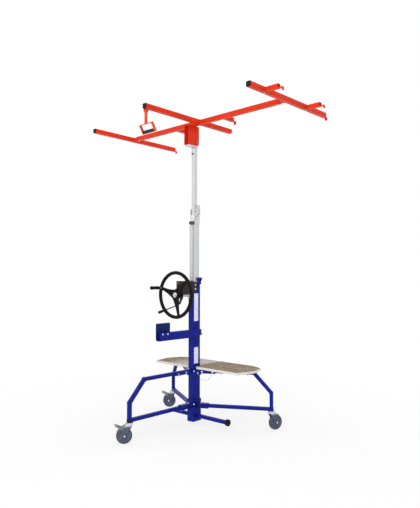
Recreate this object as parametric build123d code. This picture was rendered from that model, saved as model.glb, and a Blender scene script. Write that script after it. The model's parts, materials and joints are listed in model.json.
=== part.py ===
from build123d import *
import math
import os

# Drywall panel hoist, in millimetres.
# It is drawn about the mast axis: X runs along the cradle beam, -Y is the operator's side, Z is up
# from the floor. The finished pieces are shifted so that the origin is under the middle of the box.

# Clearances
FIT = 0.2            # between pieces that are bolted or slipped together
RUN = 0.05           # radial, between a shaft and its bore
GAP = 0.5            # between faces that pass each other
PAD = 0.2            # between a guide pad and the tube that slides in it

# Column and foot
COLUMN_X = 60.0
COLUMN_Y = 90.0
COLUMN_WALL = 3.0
COLUMN_CORNER = 5.0
COLUMN_BOTTOM = 110.0
COLUMN_TOP = 1251.0
FOOT_BOTTOM = 36.0
FOOT_WALL = 5.0
FOOT_PLATE = 6.0
BAR_SIZE = 30.0
BAR_WALL = 2.5
BAR_CORNER = 4.0
BAR_Z = 85.0
BAR_LEFT = 280.0
BAR_RIGHT = 374.0
FOOT_ROLLER_R = 28.0
FOOT_ROLLER_WIDTH = 30.0
FOOT_SPINDLE_R = 6.0
FOOT_SPINDLE_HEAD = 5.0

# Legs, hubs and platform
LEG_ANGLES = {"front": -90.0, "right": 30.0, "left": 150.0}
LEG_CENTRE_Y = -28.0   # where the middles of the three legs meet, ahead of the mast axis
LEG_TUBE = 30.0
LEG_WALL = 2.5
LEG_CORNER = 4.0
LEG_START = 62.0
LEG_BEND = 548.0
LEG_REACH = 697.0
LEG_KNEE_Z = 312.0
LEG_UPPER_Z = 475.0
LEG_LOWER_Z = 176.0
HUB_WALL = 6.0
HUB_PLATE = 5.0
UPPER_HUB_SPAN = (-43.0, 13.0)     # against the upper tube's middle
LOWER_HUB_SPAN = (-22.0, 52.0)     # against the lower tube's middle
CHEEK_HEIGHT = 33.0
CHEEK_REACH = 215.0
TONGUE_WIDTH = 44.0
TONGUE_REACH = 150.0
HUB_BOLT_R = 5.0
HUB_BOLT_REACHES = (82.0, 128.0)
CHEEK_BOLT_REACH = 95.0
LOCK_PIN_REACH = 190.0
LOCK_PIN_R = 5.0
LOCK_PIN_HEAD_R = 9.0
LOCK_PIN_HEAD = 7.0
LOCK_PIN_SPARE = 12.0
BOARD = 21.0
BOARD_FRONT = -15.0
BOARD_BACK = 350.0
BOARD_SEAM = 2.0
BOARD_ENDS = {"right_board": 550.0, "left_board": 526.0}
BOARD_CUT_FRONT = 45.0
BOARD_CUT_BACK = 170.0
BOARD_CUT_DEEP = 185.0
BOARD_CUT_WIDE = 50.0
BOARD_NOTCH = 7.0
BOARD_BOLT_R = 4.0
BOARD_BOLT_REACHES = (265.0, 490.0)

# Lanyard of the right lock pin: radius, side and height of each point in the leg's own plane
LANYARD_R = 1.0
LANYARD_POINTS = [
    (62.0, -30.5, 456.0),
    (67.0, -31.0, 431.0),
    (86.0, -32.0, 409.0),
    (113.0, -33.0, 398.0),
    (143.0, -34.0, 401.0),
    (168.0, -33.0, 416.0),
    (182.0, -29.0, 438.0),
    (190.0, -24.0, 462.0),
]
LANYARD_EYE_R = 5.0
LANYARD_BEND = 0.45     # share of the shorter run that each bend takes up

# Casters: the swivel heading of each in degrees, and which carry a brake pedal
CASTER_HEADINGS = {"front": -122.0, "right": 73.0, "left": -148.0}
BRAKED_CASTERS = ("front", "left")
CASTER_HEIGHT = 161.0
CASTER_PLATE = 6.0
CASTER_PLATE_R = 31.0
CASTER_TRAIL = 40.0
KINGPIN_R = 8.0
CROWN = 12.0
CROWN_R = 28.0
CROWN_LENGTH = 45.0
FORK_PLATE = 4.0
FORK_INSIDE = 38.0
FORK_BOSS_R = 14.0
WHEEL_R = 62.5
WHEEL_WIDTH = 32.0
TYRE_INNER_R = 46.0
AXLE_R = 5.0
AXLE_HEAD = 5.0
AXLE_HEAD_R = 9.0
PEDAL_PLATE = 3.0
PEDAL_PIVOT_X = 56.0
PEDAL_PIVOT_Z = 118.0
PEDAL_REACH = 58.0
PEDAL_RISE = 30.0
PEDAL_TREAD = 26.0
PEDAL_PIN_R = 4.0
PEDAL_EYE_R = 9.0

# Winch on the column's operator face
HOOD_RISE = 10.0     # of the hood's top over the column
WINCH_DROP = 119.0   # of the shaft under the hood's top
HOOD_HALF = 40.0
HOOD_FRONT = 182.0
HOOD_WALL = 4.0
HOOD_LOBE_R = 30.0
HOOD_EAR = 40.0
HOOD_EAR_PLATE = 4.0
HOOD_EAR_RISE = 26.0
EAR_BOLT_R = 5.0
EAR_BOLT_RISES = (48.0, 84.0)
DRUM_R = 18.5
DRUM_FLANGE_R = 34.0
DRUM_FLANGE = 5.0
DRUM_OFF_COLUMN = 13.0
DRUM_INSET = 14.0
SHAFT_R = 10.0
SHAFT_SPARE = 16.0
LIFT_CABLE_R = 1.5
LIFT_SHEAVE_R = 15.0
LIFT_SHEAVE_WIDTH = 6.0
LIFT_SHEAVE_RISE = 76.0
SHEAVE_RIM = 1.5
SHEAVE_PIN_R = 4.0
LIFT_WINDOW = 4.0

# Handwheel and spinner grip
RIM_CENTRE_R = 191.0
RIM_R = 14.0
RIM_STANDOFF = 48.0
SPOKE_ANGLES = (162.0, 282.0, 42.0)
SPOKE = 9.0
SPOKE_WIDE = 84.0
SPOKE_NARROW = 26.0
HUB_R = 36.0
HUB_AHEAD = 5.0
HUB_BEHIND = 24.0
HUB_NUT_R = 15.0
HUB_NUT = 11.0
HUB_WASHER_R = 22.0
HUB_WASHER = 3.0
GRIP_ANGLE = 162.0
GRIP_SPINDLE_R = 6.0
GRIP_R = 14.0
GRIP_END_R = 16.0
GRIP_LENGTH = 104.0
GRIP_STANDOFF = 20.0

# Brake lever: its bends and its rod's end by X and by height against the winch shaft
LEVER_X = 30.0
LEVER_DROP = 30.0
LEVER_STANDOFF = 8.0
LEVER_ARM = 8.0
LEVER_EYE_R = 11.0
LEVER_PIN_R = 5.0
LEVER_ELBOW = (-38.0, -96.0)
LEVER_BEND = (14.0, -70.0)
LEVER_ROD_R = 4.0
LEVER_ROD_END = (-243.0, -160.0)
LEVER_GRIP_R = 12.0
LEVER_GRIP_LENGTH = 78.0
LEVER_GRIP_SEAT = 62.0

# Rest arm on the column's side
REST_X = 44.0
REST_BOTTOM = 772.0
REST_HEIGHT = 67.0
REST_BACK = -2.0
REST_FRONT = 476.0
REST_WALL = 3.0
REST_CORNER = 4.0
REST_PLATE = 6.0
REST_PLATE_LENGTH = 156.0
REST_PLATE_RISE = 6.0
REST_PLATE_HEIGHT = 136.0
REST_PLATE_CORNER = 10.0
REST_BOLT_R = 5.0
REST_BOLT_SETBACKS = (30.0, 84.0)
REST_BOLT_RISE = 55.0
CLAMP_PLATE = 6.0
CLAMP_PLUG = 20.0
CLAMP_RISES = (12.0, 62.0)
CLAMP_BOLT_R = 5.0
CLAMP_BOLT_X = 26.0
CLAMP_BOLT_RISE = 16.0
KNOB_R = 10.0
KNOB = 12.0
KNOB_STUD = 4.0

# Masts
MIDDLE_X = 46.0
MIDDLE_Y = 76.0
MIDDLE_WALL = 3.0
MIDDLE_CORNER = 4.0
MIDDLE_BOTTOM = 560.0
MIDDLE_TOP = 1847.0
INNER_X = 32.0
INNER_Y = 42.0
INNER_WALL = 3.0
INNER_CORNER = 4.0
INNER_BOTTOM = 1110.0
INNER_TOP = 2440.0
GUIDE = 58.0
GUIDE_FLANGE = 5.0
GUIDE_SLOT = 4.5
TOP_CUT = 12.0       # off the front of the middle mast's upper end
TOP_CUT_LENGTH = 92.0

# Pulley head of the middle mast, its cable and the cable anchor on the column
CHEEK = 4.0
CHEEK_LAP = 85.0     # down the middle mast
CHEEK_RISE = 90.0    # over the middle mast's top, as are the next two and the heights of the slot
CHEEK_SHOULDER_RISE = 43.0
CHEEK_HEEL_RISE = 18.0
CHEEK_FRONT = -24.0
CHEEK_BACK = 47.0
CHEEK_PEAK_FRONT = 8.0
CHEEK_SLOT = ((33.0, 20.0), (-19.0, -33.0))
CHEEK_SLOT_R = 2.5
CHEEK_RIVET = (-14.0, 31.0)
CHEEK_RIVET_R = 4.0
CHEEK_RIVET_HEAD = 2.5
PULLEY_WIDTH = 10.0
PULLEY_RISE = 41.0
PULLEY_PIN_R = 4.0
CABLE_R = 2.0
CABLE_INSIDE_Y = 28.0
CABLE_OUTSIDE_Y = 46.0
ANCHOR_HALF = 15.0
ANCHOR_PLATE = 6.0
ANCHOR_EAR = 9.0
ANCHOR_LIP = (2.0, 64.0)
ANCHOR_CABLE_LIP = 41.0
ANCHOR_LAP = 21.0    # down the column
ANCHOR_NECK_RISE = 6.0   # over the column's top, as are the next two
ANCHOR_LIP_RISE = 24.0
ANCHOR_RISE = 40.0
CLIP = 3.5
CLIP_DROPS = (83.0, 58.0)
CLIP_BACK = -25.0

# Mast head and tilting yoke
PIVOT_RISE = 60.0    # over the inner mast's top
PIVOT_R = 8.0
PIVOT_HEAD = 9.0
PIVOT_HEAD_R = 13.0
LUG_HALF = 20.0
LUG_R = 24.0
SADDLE = 12.0
SADDLE_FRONT = -96.0
SADDLE_BACK = 26.0
SADDLE_HALF = 26.0
SPIGOT_LENGTH = 90.0
SPIGOT_BOLT_R = 5.0
SPIGOT_BOLT_DROP = 44.0
YOKE_PLATE = 5.0
YOKE_FRONT = -105.0
YOKE_BOTTOM_R = 33.0
YOKE_WEB_RISE = 46.0
YOKE_CAP = 6.0
YOKE_HEIGHT = 142.0  # of the beam's underside over the pivot

# Cradle
BEAM = 40.0
BEAM_WALL = 3.0
BEAM_CORNER = 5.0
BEAM_Y = -20.0
CRADLE_X = 90.0
BEAM_HALF = 855.0
ARM_FRONT = -660.0
ARM_BACK = 392.0
CROSSBAR_OFFSET = 918.0
CROSSBAR_FRONT = -486.0
CROSSBAR_BACK = 540.0
SLIDER_FIT = 0.5
SLIDER_WALL = 2.5
SLIDER_CORNER = 2.0
SLIDER_LENGTH = 400.0
HOOK_TUBE = 34.0
HOOK_WALL = 2.5
HOOK_CORNER = 3.0
HOOK_REACH = 112.0
HOOK_DROP = 3.0
BEAM_HOOK_XS = (-225.0, 355.0)
CROSSBAR_HOOK_YS = (-304.0, 258.0)
TONGUE = 4.0
TONGUE_OUT = 34.0
TONGUE_IN = 40.0
TONGUE_DROP = 26.0
TONGUE_HALF = 13.0
CAP_OUT = 7.0
CAP_IN = 20.0
CAP_CORNER = 5.0
END_HOOK_OUT = 30.0
END_HOOK_DROP = 24.0
END_HOOK = 4.0
END_SCREW_HEAD = 4.0
END_SCREW_HEAD_R = 7.0

# Catch arm with its roller
CATCH_SETBACK = 12.0
CATCH_DROP = 16.0
CATCH_EYE_R = 12.0
CATCH_WIDTH = 24.0
CATCH_BAR = 12.0
CATCH_PIN_R = 5.0
CATCH_LENGTH = 104.0
CATCH_LUG = 4.0
CATCH_FORK_HALF = 74.0
CATCH_FORK = 5.0
CATCH_FORK_DEPTH = 26.0
CATCH_FORK_LENGTH = 78.0
CATCH_FORK_LEAN = 32.0
CATCH_ROLLER_R = 14.0
CATCH_SPINDLE_R = 4.0

# Fastener heads
HEX_SHARE = 1.7      # hexagon corner radius over bolt radius
HEX_HEIGHT = 0.65    # head height over bolt diameter

TURN = {"X": Rot(0, 90, 0), "Y": Rot(-90, 0, 0), "Z": Rot(0, 0, 0)}


def slab(x, y, z):
    """Box between three (low, high) pairs."""
    size = [high - low for low, high in (x, y, z)]
    middle = [(low + high) / 2 for low, high in (x, y, z)]
    return Pos(*middle) * Box(*size)


def along(axis, at, span, shape):
    """Place a shape that is centred on Z so that it lies along an axis over a span."""
    middle = sum(span) / 2
    places = {"X": (middle, *at), "Y": (at[0], middle, at[-1]), "Z": (*at, middle)}
    return Pos(*places[axis]) * TURN[axis] * shape


def rod(axis, at, radius, span):
    """Round bar along an axis; at holds its other two coordinates."""
    return along(axis, at, span, Cylinder(radius, span[1] - span[0]))


def hexagon(axis, at, radius, span):
    """Hexagon head or nut along an axis."""
    length = span[1] - span[0]
    prism = Pos(0, 0, -length / 2) * extrude(RegularPolygon(radius, 6), length)
    return along(axis, at, span, prism)


def bolt(axis, at, radius, grip):
    """Hexagon bolt clamping a grip, with its head at the low end and its nut at the high end."""
    low, high = grip
    head = 2 * radius * HEX_HEIGHT
    spare = head + radius / 2
    shank = rod(axis, at, radius, (low, high + spare))
    return shank + hexagon(axis, at, radius * HEX_SHARE, (low - head, low)) + hexagon(
        axis, at, radius * HEX_SHARE, (high, high + head))


def ring_profile(width, depth, wall, corner):
    """Section of a rectangular tube with rounded corners."""
    outside = RectangleRounded(width, depth, corner)
    return outside - RectangleRounded(width - 2 * wall, depth - 2 * wall, corner - wall)


def sleeve_profile(width, depth, wall, corner, fit):
    """Section of a square-edged sleeve that slips over a rounded tube."""
    bore = RectangleRounded(width + 2 * fit, depth + 2 * fit, corner + fit)
    return Rectangle(width + 2 * (fit + wall), depth + 2 * (fit + wall)) - bore


def upright(profile, span):
    """Extrude a section up the mast axis."""
    return Pos(0, 0, span[0]) * extrude(profile, span[1] - span[0])


def tube_along(axis, at, span, width, height, wall, corner):
    """Horizontal rectangular tube along X or Y; at is its other coordinate and its height."""
    if axis == "X":
        plane = Plane(origin=(span[0], at[0], at[1]), x_dir=(0, 1, 0), z_dir=(1, 0, 0))
    else:
        plane = Plane(origin=(at[0], span[0], at[1]), x_dir=(-1, 0, 0), z_dir=(0, 1, 0))
    return extrude(plane * ring_profile(width, height, wall, corner), span[1] - span[0])


def plate_yz(points, x, thickness):
    """Flat plate in a YZ plane, from an outline of (y, z) points, growing towards +X."""
    return extrude(Plane.YZ.offset(x) * Polygon(*points, align=None), thickness)


def turned(shape, angle):
    """Turn a piece from a leg's own plane to its place about the legs' centre."""
    return Pos(0, LEG_CENTRE_Y, 0) * Rot(0, 0, angle) * shape


def mitred_run(points, size, wall, corner):
    """Square tubes along a bent line in the XZ plane, each cut to a mitre at its bends."""
    corners = [Vector(x, 0, z) for x, z in points]
    headings = [(end - start).normalized() for start, end in zip(corners, corners[1:])]
    tubes = []
    for index, heading in enumerate(headings):
        first = index == 0
        last = index == len(headings) - 1
        start = corners[index] - heading * (0 if first else size)
        end = corners[index + 1] + heading * (0 if last else size)
        plane = Plane(origin=start, x_dir=(0, 1, 0), z_dir=heading)
        tube = extrude(plane * ring_profile(size, size, wall, corner), (end - start).length)
        if not first:
            mitre = Plane(origin=corners[index], z_dir=heading + headings[index - 1])
            tube = split(tube, bisect_by=mitre, keep=Keep.TOP)
        if not last:
            mitre = Plane(origin=corners[index + 1], z_dir=heading + headings[index + 1])
            tube = split(tube, bisect_by=mitre, keep=Keep.BOTTOM)
        tubes.append(tube)
    return tubes


# Values that follow from the driving dimensions
UPPER_HUB_Z = tuple(LEG_UPPER_Z + offset for offset in UPPER_HUB_SPAN)
LOWER_HUB_Z = tuple(LEG_LOWER_Z + offset for offset in LOWER_HUB_SPAN)
FOOT_TOP = LOWER_HUB_Z[0]
LEG_HALF = LEG_TUBE / 2
LEG_TOP = LEG_UPPER_Z + LEG_HALF
BOARD_TOP = LEG_TOP + BOARD
CHEEK_PIN_Z = UPPER_HUB_Z[1] - CHEEK_HEIGHT / 2
HOOD_TOP = COLUMN_TOP + HOOD_RISE
WINCH_Z = HOOD_TOP - WINCH_DROP
HOOD_EAR_BOTTOM = WINCH_Z + HOOD_EAR_RISE
DRUM_BACK = COLUMN_Y / 2 + DRUM_OFF_COLUMN
DRUM_FRONT = HOOD_FRONT - DRUM_INSET
RIM_Y = -HOOD_FRONT - RIM_STANDOFF
HUB_FRONT = -RIM_Y + HUB_AHEAD
HUB_BACK = -RIM_Y - HUB_BEHIND
SHAFT_FRONT = HUB_FRONT + SHAFT_SPARE
GRIP_START = -RIM_Y + GRIP_STANDOFF
LEVER_Y = -HOOD_FRONT - LEVER_STANDOFF
LEVER_Z = WINCH_Z - LEVER_DROP
REST_Z = (REST_BOTTOM, REST_BOTTOM + REST_HEIGHT)
REST_PLATE_Y = (-REST_FRONT, -REST_FRONT + REST_PLATE_LENGTH)
REST_PLATE_Z = (REST_BOTTOM + REST_PLATE_RISE, REST_BOTTOM + REST_PLATE_RISE + REST_PLATE_HEIGHT)
REST_BOLT_YS = tuple(setback - REST_FRONT for setback in REST_BOLT_SETBACKS)
REST_BOLT_Z = REST_BOTTOM + REST_BOLT_RISE
CLAMP_Z = tuple(REST_BOTTOM + rise for rise in CLAMP_RISES)
CLAMP_BOLT_Z = REST_BOTTOM + CLAMP_BOLT_RISE
CHEEK_BOTTOM = MIDDLE_TOP - CHEEK_LAP
CHEEK_TOP = MIDDLE_TOP + CHEEK_RISE
CHEEK_SHOULDER = MIDDLE_TOP + CHEEK_SHOULDER_RISE
CHEEK_HEEL = MIDDLE_TOP + CHEEK_HEEL_RISE
PULLEY_Z = MIDDLE_TOP + PULLEY_RISE
CLIP_Z = tuple(MIDDLE_TOP - drop for drop in CLIP_DROPS)
ANCHOR_BOTTOM = COLUMN_TOP - ANCHOR_LAP
ANCHOR_NECK = COLUMN_TOP + ANCHOR_NECK_RISE
ANCHOR_LIP_Z = COLUMN_TOP + ANCHOR_LIP_RISE
ANCHOR_TOP = COLUMN_TOP + ANCHOR_RISE
CABLE_TURN_R = (CABLE_OUTSIDE_Y - CABLE_INSIDE_Y) / 2
PULLEY_Y = (CABLE_OUTSIDE_Y + CABLE_INSIDE_Y) / 2
LIFT_CABLE_X = DRUM_R + LIFT_CABLE_R + GAP
LIFT_CABLE_Y = -(MIDDLE_Y + COLUMN_Y - 2 * COLUMN_WALL) / 4
LIFT_SHEAVE_Y = LIFT_CABLE_Y - LIFT_SHEAVE_R
LIFT_SHEAVE_Z = WINCH_Z + LIFT_SHEAVE_RISE
PIVOT_Z = INNER_TOP + PIVOT_RISE
SPIGOT_BOLT_Z = INNER_TOP - SPIGOT_BOLT_DROP
BEAM_BOTTOM = PIVOT_Z + YOKE_HEIGHT
BEAM_TOP = BEAM_BOTTOM + BEAM
BEAM_Z = BEAM_BOTTOM + BEAM / 2
CATCH_Y = ARM_FRONT + CATCH_SETBACK
CATCH_Z = BEAM_BOTTOM - CATCH_DROP
SADDLE_TOP = PIVOT_Z - YOKE_BOTTOM_R - GAP
YOKE_INSIDE = LUG_HALF + GAP
YOKE_OUTSIDE = YOKE_INSIDE + YOKE_PLATE


def column():
    """Outer column with the window that the lift cable comes in by, standing in its foot."""
    tube = upright(ring_profile(COLUMN_X, COLUMN_Y, COLUMN_WALL, COLUMN_CORNER),
                   (COLUMN_BOTTOM, COLUMN_TOP))
    half = LIFT_SHEAVE_WIDTH / 2 + SHEAVE_RIM
    reach = LIFT_SHEAVE_R + SHEAVE_RIM + LIFT_WINDOW
    window = slab((LIFT_CABLE_X - half, LIFT_CABLE_X + half),
                  (-COLUMN_Y, -COLUMN_Y / 2 + COLUMN_WALL + GAP),
                  (LIFT_SHEAVE_Z - reach, LIFT_SHEAVE_Z + reach))
    foot = upright(sleeve_profile(COLUMN_X, COLUMN_Y, FOOT_WALL, COLUMN_CORNER, FIT),
                   (FOOT_BOTTOM, FOOT_TOP))
    base = slab((-COLUMN_X / 2 - FOOT_WALL, COLUMN_X / 2 + FOOT_WALL),
                (-COLUMN_Y / 2 - FOOT_WALL, COLUMN_Y / 2 + FOOT_WALL),
                (FOOT_BOTTOM, FOOT_BOTTOM + FOOT_PLATE))
    liner = upright(Rectangle(COLUMN_X + 2 * FIT + FOOT_WALL, COLUMN_Y + 2 * FIT + FOOT_WALL)
                    - RectangleRounded(COLUMN_X - 2 * COLUMN_WALL, COLUMN_Y - 2 * COLUMN_WALL,
                                       COLUMN_CORNER - COLUMN_WALL),
                    (FOOT_BOTTOM, COLUMN_BOTTOM))
    hole_plane = Plane(origin=(-COLUMN_X, 0, BAR_Z), x_dir=(0, 1, 0), z_dir=(1, 0, 0))
    hole = extrude(hole_plane * RectangleRounded(BAR_SIZE + 2 * FIT, BAR_SIZE + 2 * FIT,
                                                 BAR_CORNER + FIT), 2 * COLUMN_X)
    return {"outer_column": tube - window, "column_foot": foot + liner + base - hole}


def foot_bar():
    """Carrying bar through the foot, with the transport roller on its right end."""
    bar = tube_along("X", (0, BAR_Z), (-BAR_LEFT, BAR_RIGHT), BAR_SIZE, BAR_SIZE, BAR_WALL, BAR_CORNER)
    plug_half = BAR_SIZE / 2 - BAR_WALL
    plug = slab((BAR_RIGHT - BAR_SIZE, BAR_RIGHT), (-plug_half, plug_half),
                (BAR_Z - plug_half, BAR_Z + plug_half))
    plug = fillet(plug.edges().filter_by(Axis.X), BAR_CORNER - BAR_WALL)
    roller_start = BAR_RIGHT + GAP
    roller_end = roller_start + FOOT_ROLLER_WIDTH
    spindle = rod("X", (0, BAR_Z), FOOT_SPINDLE_R, (BAR_RIGHT, roller_end + GAP))
    head = rod("X", (0, BAR_Z), 2 * FOOT_SPINDLE_R,
               (roller_end + GAP, roller_end + GAP + FOOT_SPINDLE_HEAD))
    roller = rod("X", (0, BAR_Z), FOOT_ROLLER_R, (roller_start, roller_end))
    roller = fillet(roller.edges(), FOOT_ROLLER_WIDTH / 8)
    roller = roller - rod("X", (0, BAR_Z), FOOT_SPINDLE_R + RUN, (roller_start, roller_end))
    return {"foot_bar": [bar, plug + spindle + head], "foot_roller": roller}


def upper_hub():
    """Collar with a pair of upright cheeks for each leg's upper tube."""
    bore = upright(RectangleRounded(COLUMN_X + 2 * FIT, COLUMN_Y + 2 * FIT, COLUMN_CORNER + FIT),
                   UPPER_HUB_Z)
    hub = upright(sleeve_profile(COLUMN_X, COLUMN_Y, HUB_WALL, COLUMN_CORNER, FIT), UPPER_HUB_Z)
    side = LEG_HALF + FIT
    height = (UPPER_HUB_Z[1] - CHEEK_HEIGHT, UPPER_HUB_Z[1])
    cheeks = slab((0, CHEEK_REACH), (side, side + HUB_PLATE), height)
    cheeks = cheeks + slab((0, CHEEK_REACH), (-side - HUB_PLATE, -side), height)
    for reach, radius in ((CHEEK_BOLT_REACH, HUB_BOLT_R), (LOCK_PIN_REACH, LOCK_PIN_R)):
        cheeks = cheeks - rod("Y", (reach, CHEEK_PIN_Z), radius + FIT, (-LEG_TUBE, LEG_TUBE))
    for angle in LEG_ANGLES.values():
        hub = hub + turned(cheeks, angle)
    slots = slab((LEG_START - GAP, CHEEK_REACH), (-side, side), UPPER_HUB_Z)
    for angle in LEG_ANGLES.values():
        hub = hub - turned(slots, angle)
    return {"upper_hub": hub - bore}


def lower_hub():
    """Collar with a pair of flat tongues, over and under each leg's lower tube."""
    bore = upright(RectangleRounded(COLUMN_X + 2 * FIT, COLUMN_Y + 2 * FIT, COLUMN_CORNER + FIT),
                   LOWER_HUB_Z)
    hub = upright(sleeve_profile(COLUMN_X, COLUMN_Y, HUB_WALL, COLUMN_CORNER, FIT), LOWER_HUB_Z)
    side = LEG_HALF + FIT
    across = (-TONGUE_WIDTH / 2, TONGUE_WIDTH / 2)
    tongues = slab((0, TONGUE_REACH), across, (LEG_LOWER_Z + side, LEG_LOWER_Z + side + HUB_PLATE))
    tongues = tongues + slab((0, TONGUE_REACH), across,
                             (LEG_LOWER_Z - side - HUB_PLATE, LEG_LOWER_Z - side))
    for reach in HUB_BOLT_REACHES:
        tongues = tongues - rod("Z", (reach, 0), HUB_BOLT_R + FIT, LOWER_HUB_Z)
    for angle in LEG_ANGLES.values():
        hub = hub + turned(tongues, angle)
    return {"lower_hub": hub - bore}


def legs():
    """Three leg frames of square tube, drilled for their hub bolts, lock pins and board bolts."""
    run = [(LEG_START, LEG_UPPER_Z), (LEG_BEND, LEG_UPPER_Z),
           (LEG_REACH, LEG_KNEE_Z), (LEG_REACH, CASTER_HEIGHT)]
    upper, slope, post = mitred_run(run, LEG_TUBE, LEG_WALL, LEG_CORNER)
    lower = mitred_run([(LEG_START, LEG_LOWER_Z), (LEG_REACH - LEG_HALF, LEG_LOWER_Z)],
                       LEG_TUBE, LEG_WALL, LEG_CORNER)[0]
    for reach, radius in ((CHEEK_BOLT_REACH, HUB_BOLT_R), (LOCK_PIN_REACH, LOCK_PIN_R)):
        upper = upper - rod("Y", (reach, CHEEK_PIN_Z), radius + FIT, (-LEG_TUBE, LEG_TUBE))
    for reach in HUB_BOLT_REACHES:
        lower = lower - rod("Z", (reach, 0), HUB_BOLT_R + FIT, LOWER_HUB_Z)
    drilled = upper
    for reach in BOARD_BOLT_REACHES:
        drilled = drilled - rod("Z", (reach, 0), BOARD_BOLT_R + FIT, (LEG_LOWER_Z, BOARD_TOP))
    nodes = {}
    for name, angle in LEG_ANGLES.items():
        top = upper if name == "front" else drilled
        nodes["leg_" + name] = [turned(tube, angle) for tube in (top, slope, post, lower)]
    return nodes


def frame_bolts():
    """Hub bolts, board bolts, winch ear bolts and rest arm bolts."""
    side = LEG_HALF + FIT + HUB_PLATE
    bolts = []
    for name, angle in LEG_ANGLES.items():
        bolts.append(turned(bolt("Y", (CHEEK_BOLT_REACH, CHEEK_PIN_Z), HUB_BOLT_R, (-side, side)), angle))
        for reach in HUB_BOLT_REACHES:
            grip = (-LEG_LOWER_Z - side, -LEG_LOWER_Z + side)
            standing = Rot(180, 0, 0) * bolt("Z", (reach, 0), HUB_BOLT_R, grip)
            bolts.append(turned(standing, angle))
        if name != "front":
            for reach in BOARD_BOLT_REACHES:
                grip = (-BOARD_TOP, -LEG_UPPER_Z + LEG_HALF)
                standing = Rot(180, 0, 0) * bolt("Z", (reach, 0), BOARD_BOLT_R, grip)
                bolts.append(turned(standing, angle))
    ear = COLUMN_X / 2 + HOOD_EAR_PLATE
    for rise in EAR_BOLT_RISES:
        for sign in (-1, 1):
            head = (ear, ear + 2 * EAR_BOLT_R * HEX_HEIGHT)
            span = head if sign > 0 else (-head[1], -head[0])
            bolts.append(hexagon("X", (-COLUMN_Y / 2 + HOOD_EAR / 2, WINCH_Z + rise),
                                EAR_BOLT_R * HEX_SHARE, span))
    rest_face = COLUMN_X / 2 + REST_X
    for along_y in REST_BOLT_YS:
        grip = (-rest_face, -(COLUMN_X / 2 - REST_PLATE))
        lying = Rot(0, 0, 180) * bolt("X", (-along_y, REST_BOLT_Z), REST_BOLT_R, grip)
        bolts.append(lying)
    return {"frame_bolts": bolts}


def lock_pins():
    """Pull pins that lock the upper tubes in their cheeks, and the right pin's wire lanyard."""
    side = LEG_HALF + FIT + HUB_PLATE
    pin = rod("Y", (LOCK_PIN_REACH, CHEEK_PIN_Z), LOCK_PIN_R, (-side, side + LOCK_PIN_SPARE))
    pin = pin + rod("Y", (LOCK_PIN_REACH, CHEEK_PIN_Z), LOCK_PIN_HEAD_R, (-side - LOCK_PIN_HEAD, -side))
    pins = [turned(pin, angle) for angle in LEG_ANGLES.values()]
    points = [Vector(*point) for point in LANYARD_POINTS]
    radii = []
    for before, here, after in zip(points, points[1:], points[2:]):
        turn = math.radians((here - before).get_angle(after - here))
        shorter = min((here - before).length, (after - here).length)
        radii.append(LANYARD_BEND * shorter / math.tan(turn / 2))
    print("lanyard bend radii", [round(radius, 1) for radius in radii])
    path = FilletPolyline(*points, radius=radii)
    wire = sweep(Plane(origin=path @ 0, z_dir=path % 0) * Circle(LANYARD_R), path=path)
    print("lanyard volume over section times length",
          round(wire.volume / (math.pi * LANYARD_R ** 2 * path.length), 4))
    first = LANYARD_POINTS[0]
    eye_z = first[2] + LANYARD_EYE_R + GAP
    eye = rod("Y", (first[0], eye_z), LANYARD_EYE_R, (first[1] - HUB_PLATE, -side))
    nodes = {"lock_pins": pins + [turned(eye, LEG_ANGLES["right"])]}
    nodes["pin_lanyard"] = turned(wire, LEG_ANGLES["right"])
    return nodes


def boards():
    """Two plywood platform boards on the rear legs, cut round the column and at their outer corners."""
    notch = slab((-COLUMN_X / 2 - BOARD_NOTCH, COLUMN_X / 2 + BOARD_NOTCH),
                 (-COLUMN_Y / 2 - BOARD_NOTCH, COLUMN_Y / 2 + BOARD_NOTCH), (LEG_TOP, BOARD_TOP))
    nodes = {}
    for name, end in BOARD_ENDS.items():
        outline = [(BOARD_SEAM / 2, BOARD_FRONT), (end - BOARD_CUT_FRONT, BOARD_FRONT),
                   (end, BOARD_BACK - BOARD_CUT_DEEP), (end - BOARD_CUT_FRONT, BOARD_BACK - BOARD_CUT_WIDE),
                   (end - BOARD_CUT_BACK, BOARD_BACK), (BOARD_SEAM / 2, BOARD_BACK)]
        board = Pos(0, 0, LEG_TOP) * extrude(Polygon(*outline, align=None), BOARD) - notch
        for reach in BOARD_BOLT_REACHES:
            hole = rod("Z", (reach, 0), BOARD_BOLT_R + FIT, (LEG_TOP, BOARD_TOP))
            board = board - turned(hole, LEG_ANGLES["right"])
        nodes[name] = board if name == "right_board" else mirror(board, about=Plane.YZ)
    return nodes


def caster_plates():
    """Top plate and kingpin of each caster, fixed under its leg."""
    low = CASTER_HEIGHT - CASTER_PLATE
    plate = rod("Z", (LEG_REACH, 0), CASTER_PLATE_R, (low, CASTER_HEIGHT))
    plate = plate + rod("Z", (LEG_REACH, 0), KINGPIN_R, (low - CROWN - GAP, low))
    return {"caster_plates": [turned(plate, angle) for angle in LEG_ANGLES.values()]}


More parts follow.
